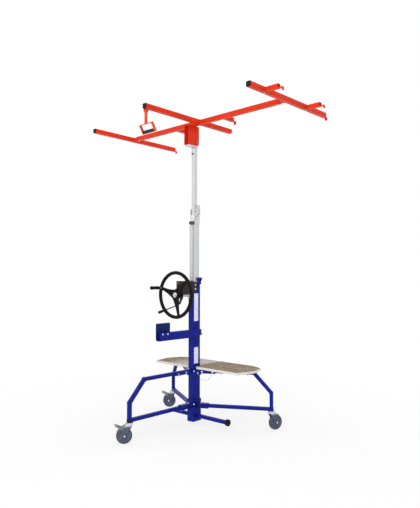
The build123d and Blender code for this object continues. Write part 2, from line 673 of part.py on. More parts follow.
def caster(name):
    """Swivel fork with its axle, wheel and brake pedal, trailing along local +X from the kingpin."""
    crown_top = CASTER_HEIGHT - CASTER_PLATE - GAP
    crown_low = crown_top - CROWN
    leg_inside = FORK_INSIDE / 2
    leg_outside = leg_inside + FORK_PLATE
    crown = rod("Z", (0, 0), CROWN_R, (crown_low, crown_top))
    outline = make_hull([
        *(Pos(0, crown_low + CROWN / 2) * Rectangle(CROWN_LENGTH, CROWN)).edges(),
        *(Pos(CASTER_TRAIL, WHEEL_R) * Circle(FORK_BOSS_R)).edges(),
        *(Pos(PEDAL_PIVOT_X, PEDAL_PIVOT_Z) * Circle(PEDAL_EYE_R)).edges()])
    side_plane = Plane(origin=(0, leg_outside, 0), x_dir=(1, 0, 0), z_dir=(0, -1, 0))
    fork_leg = extrude(side_plane * outline, FORK_PLATE)
    fork = crown + fork_leg + mirror(fork_leg, about=Plane.XZ)
    fork = fork - rod("Z", (0, 0), KINGPIN_R + RUN, (crown_low, crown_top))
    fork = fork - rod("Y", (CASTER_TRAIL, WHEEL_R), AXLE_R + FIT, (-CROWN_R, CROWN_R))
    axle = rod("Y", (CASTER_TRAIL, WHEEL_R), AXLE_R, (-leg_outside - AXLE_HEAD, leg_outside + AXLE_HEAD))
    for span in ((-leg_outside - AXLE_HEAD, -leg_outside), (leg_outside, leg_outside + AXLE_HEAD)):
        axle = axle + hexagon("Y", (CASTER_TRAIL, WHEEL_R), AXLE_HEAD_R, span)
    half = WHEEL_WIDTH / 2
    tyre = rod("Y", (CASTER_TRAIL, WHEEL_R), WHEEL_R, (-half, half))
    tyre = fillet(tyre.edges(), WHEEL_WIDTH / 6)
    tyre = tyre - rod("Y", (CASTER_TRAIL, WHEEL_R), TYRE_INNER_R, (-half, half))
    centre = rod("Y", (CASTER_TRAIL, WHEEL_R), TYRE_INNER_R, (-half, half))
    web = WHEEL_WIDTH / 5
    for sign in (-1, 1):
        span = sorted((sign * half, sign * (half - web)))
        recess = rod("Y", (CASTER_TRAIL, WHEEL_R), TYRE_INNER_R - web, span)
        recess = recess - rod("Y", (CASTER_TRAIL, WHEEL_R), 3 * AXLE_R, span)
        centre = centre - recess
    boss = leg_inside - GAP
    centre = centre + rod("Y", (CASTER_TRAIL, WHEEL_R), 2 * AXLE_R, (-boss, boss))
    centre = centre - rod("Y", (CASTER_TRAIL, WHEEL_R), AXLE_R + RUN, (-boss, boss))
    nodes = {"caster_fork_" + name: [fork, axle], "caster_wheel_" + name: [tyre, centre]}
    if name in BRAKED_CASTERS:
        nodes["brake_pedal_" + name] = brake_pedal(leg_outside)
        pivot = (PEDAL_PIVOT_X, PEDAL_PIVOT_Z)
        pin_end = leg_outside + GAP + PEDAL_PLATE
        for span in ((-pin_end, -leg_outside), (leg_outside, pin_end)):
            fork = fork + rod("Y", pivot, PEDAL_PIN_R, span)
        nodes["caster_fork_" + name] = [fork, axle]
    turn = math.radians(LEG_ANGLES[name])
    kingpin = (LEG_REACH * math.cos(turn), LEG_CENTRE_Y + LEG_REACH * math.sin(turn), 0)
    place = Pos(*kingpin) * Rot(0, 0, CASTER_HEADINGS[name])
    placed = {}
    for node, shape in nodes.items():
        placed[node] = [place * piece for piece in shape] if isinstance(shape, list) else place * shape
    return placed


def brake_pedal(leg_outside):
    """Raised tread with two side arms that hang on pins outside the fork."""
    inside = leg_outside + GAP
    lean = math.degrees(math.atan2(PEDAL_RISE, PEDAL_REACH))
    length = math.hypot(PEDAL_REACH, PEDAL_RISE)
    tip = Pos(length - PEDAL_TREAD / 2, 0) * Rectangle(PEDAL_TREAD, PEDAL_EYE_R)
    arm_outline = make_hull([*Circle(PEDAL_EYE_R).edges(), *tip.edges()])
    arm_outline = arm_outline - Circle(PEDAL_PIN_R + RUN)
    plane = Plane(origin=(0, inside + PEDAL_PLATE, 0), x_dir=(1, 0, 0), z_dir=(0, -1, 0))
    arm = extrude(plane * arm_outline, PEDAL_PLATE)
    tread = slab((length - PEDAL_TREAD, length), (-inside - PEDAL_PLATE, inside + PEDAL_PLATE),
                 (PEDAL_EYE_R / 2 - PEDAL_PLATE, PEDAL_EYE_R / 2))
    pedal = arm + mirror(arm, about=Plane.XZ) + tread
    return Pos(PEDAL_PIVOT_X, 0, PEDAL_PIVOT_Z) * Rot(0, -lean, 0) * pedal


def winch():
    """Hood with its bearing lobes and column ears, lift sheave, drum, shaft and hub nut."""
    back = COLUMN_Y / 2
    inside = HOOD_HALF - HOOD_WALL
    hood = slab((-HOOD_HALF, HOOD_HALF), (-HOOD_FRONT, -back), (WINCH_Z, HOOD_TOP))
    hood = fillet(hood.edges().filter_by(Axis.Y).group_by(Axis.Z)[-1], 2 * HOOD_WALL)
    hood = hood - slab((-inside, inside), (-HOOD_FRONT + HOOD_WALL, -back - HOOD_WALL),
                       (WINCH_Z, HOOD_TOP - HOOD_WALL))
    for span in ((-HOOD_FRONT, -HOOD_FRONT + HOOD_WALL), (-back - HOOD_WALL, -back)):
        hood = hood + rod("Y", (0, WINCH_Z), HOOD_LOBE_R, span)
    lug_low = -HOOD_FRONT + HOOD_WALL
    lever_lug = slab((0, HOOD_HALF), (-HOOD_FRONT, lug_low), (LEVER_Z, WINCH_Z))
    lever_lug = lever_lug + rod("Y", (LEVER_X, LEVER_Z), HOOD_HALF - LEVER_X, (-HOOD_FRONT, lug_low))
    hood = hood + lever_lug
    face = COLUMN_X / 2
    ears = slab((-face - HOOD_EAR_PLATE, face + HOOD_EAR_PLATE), (-back - HOOD_WALL, -back + HOOD_EAR),
                (HOOD_EAR_BOTTOM, HOOD_TOP - 2 * HOOD_WALL))
    ears = ears - slab((-face, face), (-back, -back + HOOD_EAR), (HOOD_EAR_BOTTOM, HOOD_TOP))
    reach = LIFT_SHEAVE_R + SHEAVE_RIM + LIFT_WINDOW
    half = LIFT_SHEAVE_WIDTH / 2 + SHEAVE_RIM
    window = slab((LIFT_CABLE_X - half, LIFT_CABLE_X + half), (-back - HOOD_WALL, -back),
                  (LIFT_SHEAVE_Z - reach, LIFT_SHEAVE_Z + reach))
    shaft_hole = rod("Y", (0, WINCH_Z), SHAFT_R + RUN, (-HOOD_FRONT, -back))
    hood = hood + ears - window - shaft_hole
    axis_at = (LIFT_SHEAVE_Y, LIFT_SHEAVE_Z)
    sheave_half = LIFT_SHEAVE_WIDTH / 2
    pin_span = (LIFT_CABLE_X - sheave_half - GAP, inside)
    pin = rod("X", axis_at, SHEAVE_PIN_R, pin_span)
    collar = rod("X", axis_at, 2 * SHEAVE_PIN_R, (LIFT_CABLE_X + sheave_half + GAP, inside))
    hood = hood + collar + pin
    hood = hood + rod("Y", (LEVER_X, LEVER_Z), LEVER_PIN_R,
                      (LEVER_Y - LEVER_ARM / 2 - GAP, -HOOD_FRONT))
    span = (LIFT_CABLE_X - sheave_half, LIFT_CABLE_X + sheave_half)
    sheave = sheave_wheel(axis_at, span, LIFT_SHEAVE_R, LIFT_CABLE_R, SHEAVE_PIN_R)
    drum = rod("Y", (0, WINCH_Z), DRUM_R, (-DRUM_FRONT, -DRUM_BACK))
    for flange in ((-DRUM_FRONT, -DRUM_FRONT + DRUM_FLANGE), (-DRUM_BACK - DRUM_FLANGE, -DRUM_BACK)):
        drum = drum + rod("Y", (0, WINCH_Z), DRUM_FLANGE_R, flange)
    drum = drum - rod("Y", (0, WINCH_Z), SHAFT_R, (-DRUM_FRONT, -DRUM_BACK))
    shaft = rod("Y", (0, WINCH_Z), SHAFT_R, (-SHAFT_FRONT, -back - GAP))
    washer = rod("Y", (0, WINCH_Z), HUB_WASHER_R, (-HUB_FRONT - HUB_WASHER, -HUB_FRONT))
    nut = hexagon("Y", (0, WINCH_Z), HUB_NUT_R, (-HUB_FRONT - HUB_WASHER - HUB_NUT, -HUB_FRONT - HUB_WASHER))
    return {"winch_housing": hood, "lift_sheave": sheave, "winch_drum": drum,
            "winch_shaft": shaft + washer + nut}


def sheave_wheel(at, span, cable_path_r, cable_r, pin_r):
    """Grooved cable wheel on an X axis."""
    middle = sum(span) / 2
    rim = cable_path_r + SHEAVE_RIM
    wheel = rod("X", at, rim, span)
    groove = Pos(middle, *at) * TURN["X"] * Torus(cable_path_r + cable_r / 4, cable_r + cable_r / 4)
    outer_ring = rod("X", at, rim, (middle - cable_r, middle + cable_r)) - rod(
        "X", at, cable_path_r, (middle - cable_r, middle + cable_r))
    return wheel - groove - outer_ring - rod("X", at, pin_r + RUN, span)


def handwheel():
    """Three-spoke handwheel with its grip spindle, and the spinning grip."""
    rim = Pos(0, RIM_Y, WINCH_Z) * TURN["Y"] * Torus(RIM_CENTRE_R, RIM_R)
    plane = Plane(origin=(0, RIM_Y + SPOKE / 2, WINCH_Z), x_dir=(1, 0, 0), z_dir=(0, -1, 0))
    spokes = Sketch()
    for angle in SPOKE_ANGLES:
        arm = Polygon((0, -SPOKE_WIDE / 2), (RIM_CENTRE_R, -SPOKE_NARROW / 2),
                      (RIM_CENTRE_R, SPOKE_NARROW / 2), (0, SPOKE_WIDE / 2), align=None)
        spokes = spokes + Rot(0, 0, angle) * arm
    wheel = rim + extrude(plane * spokes, SPOKE)
    wheel = wheel + rod("Y", (0, WINCH_Z), HUB_R, (-HUB_FRONT, -HUB_BACK))
    wheel = wheel - rod("Y", (0, WINCH_Z), SHAFT_R, (-HUB_FRONT, -HUB_BACK))
    turn = math.radians(GRIP_ANGLE)
    at = (RIM_CENTRE_R * math.cos(turn), WINCH_Z + RIM_CENTRE_R * math.sin(turn))
    grip_end = GRIP_START + GRIP_LENGTH
    spindle = rod("Y", at, GRIP_SPINDLE_R, (-grip_end + GRIP_R, RIM_Y))
    spindle = spindle + rod("Y", at, GRIP_R - GAP, (-GRIP_START + GAP, RIM_Y))
    grip_profile = Polygon((GRIP_SPINDLE_R + RUN, 0), (GRIP_R, 0), (GRIP_END_R, GRIP_LENGTH - GRIP_R),
                           (GRIP_END_R, GRIP_LENGTH), (0, GRIP_LENGTH),
                           (0, GRIP_LENGTH - GRIP_R + GAP),
                           (GRIP_SPINDLE_R + RUN, GRIP_LENGTH - GRIP_R + GAP), align=None)
    grip = revolve(Plane.XZ * grip_profile, Axis.Z)
    grip = fillet(grip.edges().group_by(Axis.Z)[-1], GRIP_END_R / 3)
    grip = Pos(at[0], -GRIP_START, at[1]) * Rot(90, 0, 0) * grip
    return {"handwheel": wheel + spindle, "crank_grip": grip}


def brake_lever():
    """Bent flat arm on a pin under the hood, ending in a thin rod with a grip."""
    plane = Plane(origin=(0, LEVER_Y + LEVER_ARM / 2, 0), x_dir=(1, 0, 0), z_dir=(0, -1, 0))
    stops = [(LEVER_X, LEVER_Z, LEVER_EYE_R)]
    for x, height in (LEVER_BEND, LEVER_ELBOW):
        stops.append((x, WINCH_Z + height, LEVER_ARM))
    arm = Sketch()
    for (x0, z0, r0), (x1, z1, r1) in zip(stops, stops[1:]):
        arm = arm + make_hull([*(Pos(x0, z0) * Circle(r0)).edges(), *(Pos(x1, z1) * Circle(r1)).edges()])
    arm = arm - Pos(LEVER_X, LEVER_Z) * Circle(LEVER_PIN_R + RUN)
    flat = extrude(plane * arm, LEVER_ARM)
    start = Vector(LEVER_ELBOW[0], LEVER_Y, WINCH_Z + LEVER_ELBOW[1])
    end = Vector(LEVER_ROD_END[0], LEVER_Y, WINCH_Z + LEVER_ROD_END[1])
    heading = (end - start).normalized()
    bar = extrude(Plane(origin=start, z_dir=heading) * Circle(LEVER_ROD_R), (end - start).length)
    grip_start = end - heading * LEVER_GRIP_SEAT
    grip = extrude(Plane(origin=grip_start, z_dir=heading) * Circle(LEVER_GRIP_R), LEVER_GRIP_LENGTH)
    grip = fillet(grip.edges(), LEVER_GRIP_R / 3) - bar
    return {"brake_lever": flat + bar, "lever_grip": grip}


def rest_arm():
    """Rest arm on the column's side, its upright plate, and the clamp that holds it to the column."""
    face = COLUMN_X / 2
    middle = (face + REST_X / 2, sum(REST_Z) / 2)
    arm = tube_along("Y", middle, (-REST_FRONT, REST_BACK), REST_X, REST_Z[1] - REST_Z[0],
                     REST_WALL, REST_CORNER)
    size = (REST_PLATE_Y[1] - REST_PLATE_Y[0], REST_PLATE_Z[1] - REST_PLATE_Z[0])
    plate_middle = (sum(REST_PLATE_Y) / 2, sum(REST_PLATE_Z) / 2)
    outline = Pos(*plate_middle) * RectangleRounded(*size, REST_PLATE_CORNER)
    plate = extrude(Plane.YZ.offset(face - REST_PLATE) * outline, REST_PLATE)
    for along_y in REST_BOLT_YS:
        hole = rod("X", (along_y, REST_BOLT_Z), REST_BOLT_R + FIT, (0, 2 * face + REST_X))
        arm = arm - hole
        plate = plate - hole
    back = COLUMN_Y / 2
    side = face + REST_WALL + FIT
    strap = slab((-face, side), (back, back + CLAMP_PLATE), CLAMP_Z)
    tail = slab((side, side + CLAMP_PLATE), (REST_BACK - CLAMP_PLUG, back + CLAMP_PLATE), CLAMP_Z)
    knob_at = (CLAMP_BOLT_X, CLAMP_BOLT_Z)
    knob_start = back + CLAMP_PLATE + KNOB_STUD
    stud = rod("Y", knob_at, CLAMP_BOLT_R, (back + CLAMP_PLATE, knob_start))
    knob = rod("Y", knob_at, KNOB_R, (knob_start, knob_start + KNOB))
    knob = fillet(knob.edges(), KNOB / 6)
    return {"rest_arm": arm, "rest_plate": plate, "rest_clamp": strap + tail + stud + knob}


def masts():
    """Middle and inner mast tubes, with the guide pads between the three stages."""
    top_cut = slab((-MIDDLE_X, MIDDLE_X), (-MIDDLE_Y, -MIDDLE_Y / 2 + TOP_CUT),
                   (MIDDLE_TOP - TOP_CUT_LENGTH, MIDDLE_TOP))
    middle = upright(ring_profile(MIDDLE_X, MIDDLE_Y, MIDDLE_WALL, MIDDLE_CORNER),
                     (MIDDLE_BOTTOM, MIDDLE_TOP)) - top_cut
    inner = upright(ring_profile(INNER_X, INNER_Y, INNER_WALL, INNER_CORNER), (INNER_BOTTOM, INNER_TOP))
    inner = inner - rod("Y", (0, SPIGOT_BOLT_Z), SPIGOT_BOLT_R + FIT, (-INNER_Y, INNER_Y))
    column_bore = (COLUMN_X - 2 * COLUMN_WALL, COLUMN_Y - 2 * COLUMN_WALL)
    middle_bore = (MIDDLE_X - 2 * MIDDLE_WALL, MIDDLE_Y - 2 * MIDDLE_WALL)
    column_pad = upright(
        RectangleRounded(*column_bore, COLUMN_CORNER - COLUMN_WALL)
        - RectangleRounded(MIDDLE_X + 2 * PAD, MIDDLE_Y + 2 * PAD, MIDDLE_CORNER),
        (COLUMN_TOP - GUIDE, COLUMN_TOP))
    flange = upright(
        RectangleRounded(COLUMN_X, COLUMN_Y, COLUMN_CORNER)
        - RectangleRounded(MIDDLE_X + 2 * PAD, MIDDLE_Y + 2 * PAD, MIDDLE_CORNER),
        (COLUMN_TOP, COLUMN_TOP + GUIDE_FLANGE))
    half = LIFT_SHEAVE_WIDTH / 2 + SHEAVE_RIM
    reach = LIFT_SHEAVE_R + SHEAVE_RIM + LIFT_WINDOW
    cable_way = slab((LIFT_CABLE_X - half, LIFT_CABLE_X + half), (-COLUMN_Y, -MIDDLE_Y / 2 + GAP),
                     (COLUMN_TOP - GUIDE, LIFT_SHEAVE_Z + reach))
    middle_foot = upright(
        RectangleRounded(column_bore[0] - 2 * PAD, column_bore[1] - 2 * PAD, COLUMN_CORNER - COLUMN_WALL)
        - RectangleRounded(MIDDLE_X, MIDDLE_Y, MIDDLE_CORNER),
        (MIDDLE_BOTTOM, MIDDLE_BOTTOM + GUIDE))
    middle_top = upright(
        RectangleRounded(*middle_bore, MIDDLE_CORNER - MIDDLE_WALL)
        - RectangleRounded(INNER_X + 2 * PAD, INNER_Y + 2 * PAD, INNER_CORNER),
        (MIDDLE_TOP - GUIDE, MIDDLE_TOP))
    cable_slot = slab((-GUIDE_SLOT, GUIDE_SLOT), (INNER_Y / 2, MIDDLE_Y), (MIDDLE_TOP - GUIDE, MIDDLE_TOP))
    inner_foot = upright(
        RectangleRounded(middle_bore[0] - 2 * PAD, middle_bore[1] - 2 * PAD, MIDDLE_CORNER - MIDDLE_WALL)
        - RectangleRounded(INNER_X, INNER_Y, INNER_CORNER),
        (INNER_BOTTOM, INNER_BOTTOM + GUIDE))
    return {"middle_mast": middle, "inner_mast": inner,
            "column_guide": column_pad + flange - cable_way,
            "middle_guides": [middle_foot, middle_top - cable_slot - top_cut],
            "inner_guide": inner_foot}


def cables():
    """Lift cable from drum to middle mast, and the cable that draws the inner mast up with it."""
    lift = rod("Z", (LIFT_CABLE_X, LIFT_CABLE_Y), LIFT_CABLE_R, (MIDDLE_BOTTOM + GUIDE, LIFT_SHEAVE_Z))
    outside_y = LIFT_SHEAVE_Y - LIFT_SHEAVE_R
    lift = lift + rod("Z", (LIFT_CABLE_X, outside_y), LIFT_CABLE_R, (WINCH_Z, LIFT_SHEAVE_Z))
    over = Pos(LIFT_CABLE_X, LIFT_SHEAVE_Y, LIFT_SHEAVE_Z) * TURN["X"] * Torus(LIFT_SHEAVE_R, LIFT_CABLE_R)
    over = over & slab((0, COLUMN_X), (-HOOD_FRONT, 0), (LIFT_SHEAVE_Z, HOOD_TOP))
    draw = rod("Z", (0, CABLE_INSIDE_Y), CABLE_R, (INNER_BOTTOM + GUIDE, PULLEY_Z))
    draw = draw + rod("Z", (0, CABLE_OUTSIDE_Y), CABLE_R, (ANCHOR_TOP, PULLEY_Z))
    turn = Pos(0, PULLEY_Y, PULLEY_Z) * TURN["X"] * Torus(CABLE_TURN_R, CABLE_R)
    turn = turn & slab((-COLUMN_X, COLUMN_X), (0, COLUMN_Y), (PULLEY_Z, CHEEK_TOP))
    return {"lift_cable": lift + over, "mast_cable": draw + turn}


def pulley_head():
    """Cheek plates on the middle mast's sides, the cable pulley, the cable anchor and the front clip."""
    side = MIDDLE_X / 2
    outline = [(CHEEK_FRONT, CHEEK_BOTTOM), (MIDDLE_Y / 2, CHEEK_BOTTOM), (CHEEK_BACK, CHEEK_HEEL),
               (CHEEK_BACK, CHEEK_TOP), (CHEEK_PEAK_FRONT, CHEEK_TOP), (CHEEK_FRONT, CHEEK_SHOULDER)]
    holes = rod("X", (PULLEY_Y, PULLEY_Z), PULLEY_PIN_R + FIT, (-COLUMN_X, COLUMN_X))
    ends = [Pos(y, MIDDLE_TOP + rise) * Circle(CHEEK_SLOT_R) for y, rise in CHEEK_SLOT]
    slot = make_hull([edge for end in ends for edge in end.edges()])
    holes = holes + extrude(Plane.YZ.offset(-COLUMN_X) * slot, 2 * COLUMN_X)
    cheeks = [plate_yz(outline, side, CHEEK) - holes, plate_yz(outline, -side - CHEEK, CHEEK) - holes]
    rivet_at = (CHEEK_RIVET[0], MIDDLE_TOP + CHEEK_RIVET[1])
    outside = side + CHEEK
    for span in ((outside, outside + CHEEK_RIVET_HEAD), (-outside - CHEEK_RIVET_HEAD, -outside)):
        cheeks.append(rod("X", rivet_at, CHEEK_RIVET_R, span))
    axle = bolt("X", (PULLEY_Y, PULLEY_Z), PULLEY_PIN_R, (-side - CHEEK, side + CHEEK))
    half = PULLEY_WIDTH / 2
    spacers = []
    for span in ((-side, -half - GAP), (half + GAP, side)):
        tube = rod("X", (PULLEY_Y, PULLEY_Z), 2 * PULLEY_PIN_R, span)
        spacers.append(tube - rod("X", (PULLEY_Y, PULLEY_Z), PULLEY_PIN_R + FIT, span))
    pulley = sheave_wheel((PULLEY_Y, PULLEY_Z), (-half, half), CABLE_TURN_R, CABLE_R, PULLEY_PIN_R)
    back = COLUMN_Y / 2
    face = COLUMN_X / 2
    heel = back + ANCHOR_PLATE
    lip_front, lip_back = ANCHOR_LIP
    rear = [(heel, ANCHOR_BOTTOM), (heel, ANCHOR_NECK), (lip_back, ANCHOR_LIP_Z), (lip_back, ANCHOR_TOP)]
    seat = [(ANCHOR_CABLE_LIP, ANCHOR_TOP), (ANCHOR_CABLE_LIP, ANCHOR_NECK), (back, ANCHOR_NECK),
            (back, ANCHOR_BOTTOM)]
    ear = [(lip_front, ANCHOR_TOP), (lip_front, ANCHOR_LIP_Z), (ANCHOR_EAR, ANCHOR_NECK),
           (ANCHOR_EAR, ANCHOR_BOTTOM)]
    anchor = plate_yz(rear + seat, -ANCHOR_HALF, ANCHOR_HALF + face)
    anchor = anchor + plate_yz(rear + ear, face, ANCHOR_PLATE)
    out = side + CLIP
    clip = slab((-out, out), (-MIDDLE_Y / 2 - CLIP, CLIP_BACK), CLIP_Z) - slab(
        (-side, side), (-MIDDLE_Y / 2 + TOP_CUT, CLIP_BACK), CLIP_Z)
    return {"pulley_head": cheeks + [axle] + spacers, "mast_pulley": pulley, "cable_anchor": anchor,
            "mast_clip": clip}


def mast_head():
    """Spigot pinned in the inner mast, with the saddle and lug that carry the yoke."""
    bore = (INNER_X - 2 * INNER_WALL - 2 * FIT, INNER_Y - 2 * INNER_WALL - 2 * FIT)
    spigot = upright(Rectangle(*bore), (INNER_TOP - SPIGOT_LENGTH, SADDLE_TOP - SADDLE))
    spigot = fillet(spigot.edges().filter_by(Axis.Z), INNER_CORNER - INNER_WALL)
    neck = upright(Rectangle(INNER_X, INNER_Y), (INNER_TOP, SADDLE_TOP - SADDLE))
    saddle = slab((-SADDLE_HALF, SADDLE_HALF), (SADDLE_FRONT, SADDLE_BACK), (SADDLE_TOP - SADDLE, SADDLE_TOP))
    lug_outline = make_hull([*(Pos(0, PIVOT_Z) * Circle(LUG_R)).edges(),
                             *(Pos(0, SADDLE_TOP) * Rectangle(2 * LUG_R, 2 * GAP)).edges()])
    lug = extrude(Plane.YZ.offset(-LUG_HALF) * lug_outline, 2 * LUG_HALF)
    head = spigot + neck + saddle + lug
    head = head - rod("X", (0, PIVOT_Z), PIVOT_R + RUN, (-COLUMN_X, COLUMN_X))
    head = head - rod("Y", (0, SPIGOT_BOLT_Z), SPIGOT_BOLT_R + FIT, (-COLUMN_Y, COLUMN_Y))
    cross_bolt = bolt("Y", (0, SPIGOT_BOLT_Z), SPIGOT_BOLT_R, (-INNER_Y / 2, INNER_Y / 2))
    return {"mast_head": [head, cross_bolt]}


def yoke():
    """Folded yoke that tilts on the lug, and its pivot bolt."""
    low = PIVOT_Z - YOKE_BOTTOM_R
    cap_low = BEAM_BOTTOM - YOKE_CAP
    plate = Rectangle(YOKE_BOTTOM_R - YOKE_FRONT, BEAM_BOTTOM - PIVOT_Z, align=(Align.MIN, Align.MIN))
    plate = Pos(YOKE_FRONT, PIVOT_Z) * plate
    plate = plate + Pos(YOKE_FRONT, low) * Rectangle(-YOKE_FRONT, YOKE_BOTTOM_R, align=(Align.MIN, Align.MIN))
    plate = plate + Pos(0, PIVOT_Z) * Circle(YOKE_BOTTOM_R)
    sides = extrude(Plane.YZ.offset(YOKE_INSIDE) * plate, YOKE_PLATE)
    sides = sides + mirror(sides, about=Plane.YZ)
    cap = slab((-YOKE_OUTSIDE, YOKE_OUTSIDE), (YOKE_FRONT, YOKE_BOTTOM_R), (cap_low, BEAM_BOTTOM))
    web = slab((-YOKE_OUTSIDE, YOKE_OUTSIDE), (YOKE_BOTTOM_R - YOKE_PLATE, YOKE_BOTTOM_R),
               (PIVOT_Z + YOKE_WEB_RISE, BEAM_BOTTOM))
    body = sides + cap + web - rod("X", (0, PIVOT_Z), PIVOT_R, (-COLUMN_X, COLUMN_X))
    pin = rod("X", (0, PIVOT_Z), PIVOT_R, (-YOKE_OUTSIDE, YOKE_OUTSIDE))
    for span in ((-YOKE_OUTSIDE - PIVOT_HEAD, -YOKE_OUTSIDE), (YOKE_OUTSIDE, YOKE_OUTSIDE + PIVOT_HEAD)):
        pin = pin + hexagon("X", (0, PIVOT_Z), PIVOT_HEAD_R, span)
    return {"yoke": body, "tilt_bolt": pin}


def hook_stub():
    """Open hook tube along +X from a tube's side, with a bent tongue in its end."""
    tube = tube_along("X", (0, 0), (0, HOOK_REACH), HOOK_TUBE, HOOK_TUBE, HOOK_WALL, HOOK_CORNER)
    inside = HOOK_TUBE / 2 - HOOK_WALL
    low = -inside
    tongue = slab((HOOK_REACH - TONGUE_IN, HOOK_REACH + TONGUE_OUT), (-TONGUE_HALF, TONGUE_HALF),
                  (low, low + TONGUE))
    lip = slab((HOOK_REACH + TONGUE_OUT - TONGUE, HOOK_REACH + TONGUE_OUT), (-TONGUE_HALF, TONGUE_HALF),
               (low + TONGUE - TONGUE_DROP, low + TONGUE))
    return [tube, tongue + lip]


def end_hook(x, end):
    """Bent hook with its screw on the back end of a crossbar; x is the bar's middle."""
    inside = BEAM / 2 - BEAM_WALL - FIT
    top = BEAM_BOTTOM + BEAM_WALL + FIT + END_HOOK
    hook = slab((x - inside + BEAM_CORNER, x + inside - BEAM_CORNER), (end - TONGUE_IN, end + END_HOOK_OUT),
                (top - END_HOOK, top))
    lip = slab((x - inside + BEAM_CORNER, x + inside - BEAM_CORNER),
               (end + END_HOOK_OUT - END_HOOK, end + END_HOOK_OUT), (top - END_HOOK_DROP, top))
    screw = rod("Z", (x, end + END_HOOK_OUT / 3), END_SCREW_HEAD_R,
                (top - END_HOOK - END_SCREW_HEAD, top - END_HOOK))
    return hook + lip + screw


def end_cap(axis_at, end):
    """Black plug in the front end of a cradle tube that runs along Y."""
    inside = BEAM - 2 * BEAM_WALL - 2 * FIT
    plane = Plane(origin=(axis_at[0], end, axis_at[1]), x_dir=(1, 0, 0), z_dir=(0, -1, 0))
    plug = extrude(plane * RectangleRounded(inside, inside, BEAM_CORNER - BEAM_WALL), -CAP_IN)
    head = extrude(plane * RectangleRounded(BEAM, BEAM, CAP_CORNER), CAP_OUT)
    return plug + head


def cradle():
    """Main beam, cross arm, hooks and sliding crossbars under the board."""
    beam = tube_along("X", (BEAM_Y, BEAM_Z), (CRADLE_X - BEAM_HALF, CRADLE_X + BEAM_HALF),
                      BEAM, BEAM, BEAM_WALL, BEAM_CORNER)
    beam_half = BEAM / 2
    at = (CRADLE_X, BEAM_Z)
    arm = [tube_along("Y", at, (ARM_FRONT, BEAM_Y - beam_half), BEAM, BEAM, BEAM_WALL, BEAM_CORNER),
           tube_along("Y", at, (BEAM_Y + beam_half, ARM_BACK), BEAM, BEAM, BEAM_WALL, BEAM_CORNER)]
    inner_edge = CATCH_WIDTH / 2 + GAP
    for low, high in ((-inner_edge - CATCH_LUG, -inner_edge), (inner_edge, inner_edge + CATCH_LUG)):
        seat = Pos(CATCH_Y, BEAM_BOTTOM - GAP) * Rectangle(2 * CATCH_EYE_R, 2 * GAP)
        outline = make_hull([*(Pos(CATCH_Y, CATCH_Z) * Circle(CATCH_EYE_R)).edges(), *seat.edges()])
        lug = extrude(Plane.YZ.offset(CRADLE_X + low) * outline, high - low)
        arm.append(lug - rod("X", (CATCH_Y, CATCH_Z), CATCH_PIN_R, (-COLUMN_X, COLUMN_X + 2 * CRADLE_X)))
    pin_end = inner_edge + CATCH_LUG
    arm.append(rod("X", (CATCH_Y, CATCH_Z), CATCH_PIN_R, (CRADLE_X - pin_end, CRADLE_X + pin_end)))
    hook_z = BEAM_TOP - HOOK_DROP - HOOK_TUBE / 2
    hooks = []
    for x in BEAM_HOOK_XS:
        place = Pos(x, BEAM_Y + beam_half, hook_z) * Rot(0, 0, 90)
        hooks += [place * piece for piece in hook_stub()]
    nodes = {"main_beam": beam, "cross_arm": arm, "beam_hooks": hooks,
             "arm_cap": end_cap((CRADLE_X, BEAM_Z), ARM_FRONT)}
    slider = BEAM - 2 * BEAM_WALL - 2 * SLIDER_FIT
    for name, sign in (("left", -1), ("right", 1)):
        x = CRADLE_X + sign * CROSSBAR_OFFSET
        bar = tube_along("Y", (x, BEAM_Z), (CROSSBAR_FRONT, CROSSBAR_BACK),
                         BEAM, BEAM, BEAM_WALL, BEAM_CORNER)
        near = x - sign * beam_half
        span = sorted((near, near - sign * SLIDER_LENGTH))
        slide = tube_along("X", (BEAM_Y, BEAM_Z), span, slider, slider,
                           SLIDER_WALL, SLIDER_CORNER + SLIDER_WALL)
        nodes["crossbar_" + name] = [bar, slide]
        nodes["crossbar_cap_" + name] = end_cap((x, BEAM_Z), CROSSBAR_FRONT)
        ends = [end_hook(x, CROSSBAR_BACK)]
        if name == "right":
            for y in CROSSBAR_HOOK_YS:
                ends += [Pos(x + beam_half, y, hook_z) * piece for piece in hook_stub()]
        nodes["crossbar_hooks_" + name] = ends
    return nodes


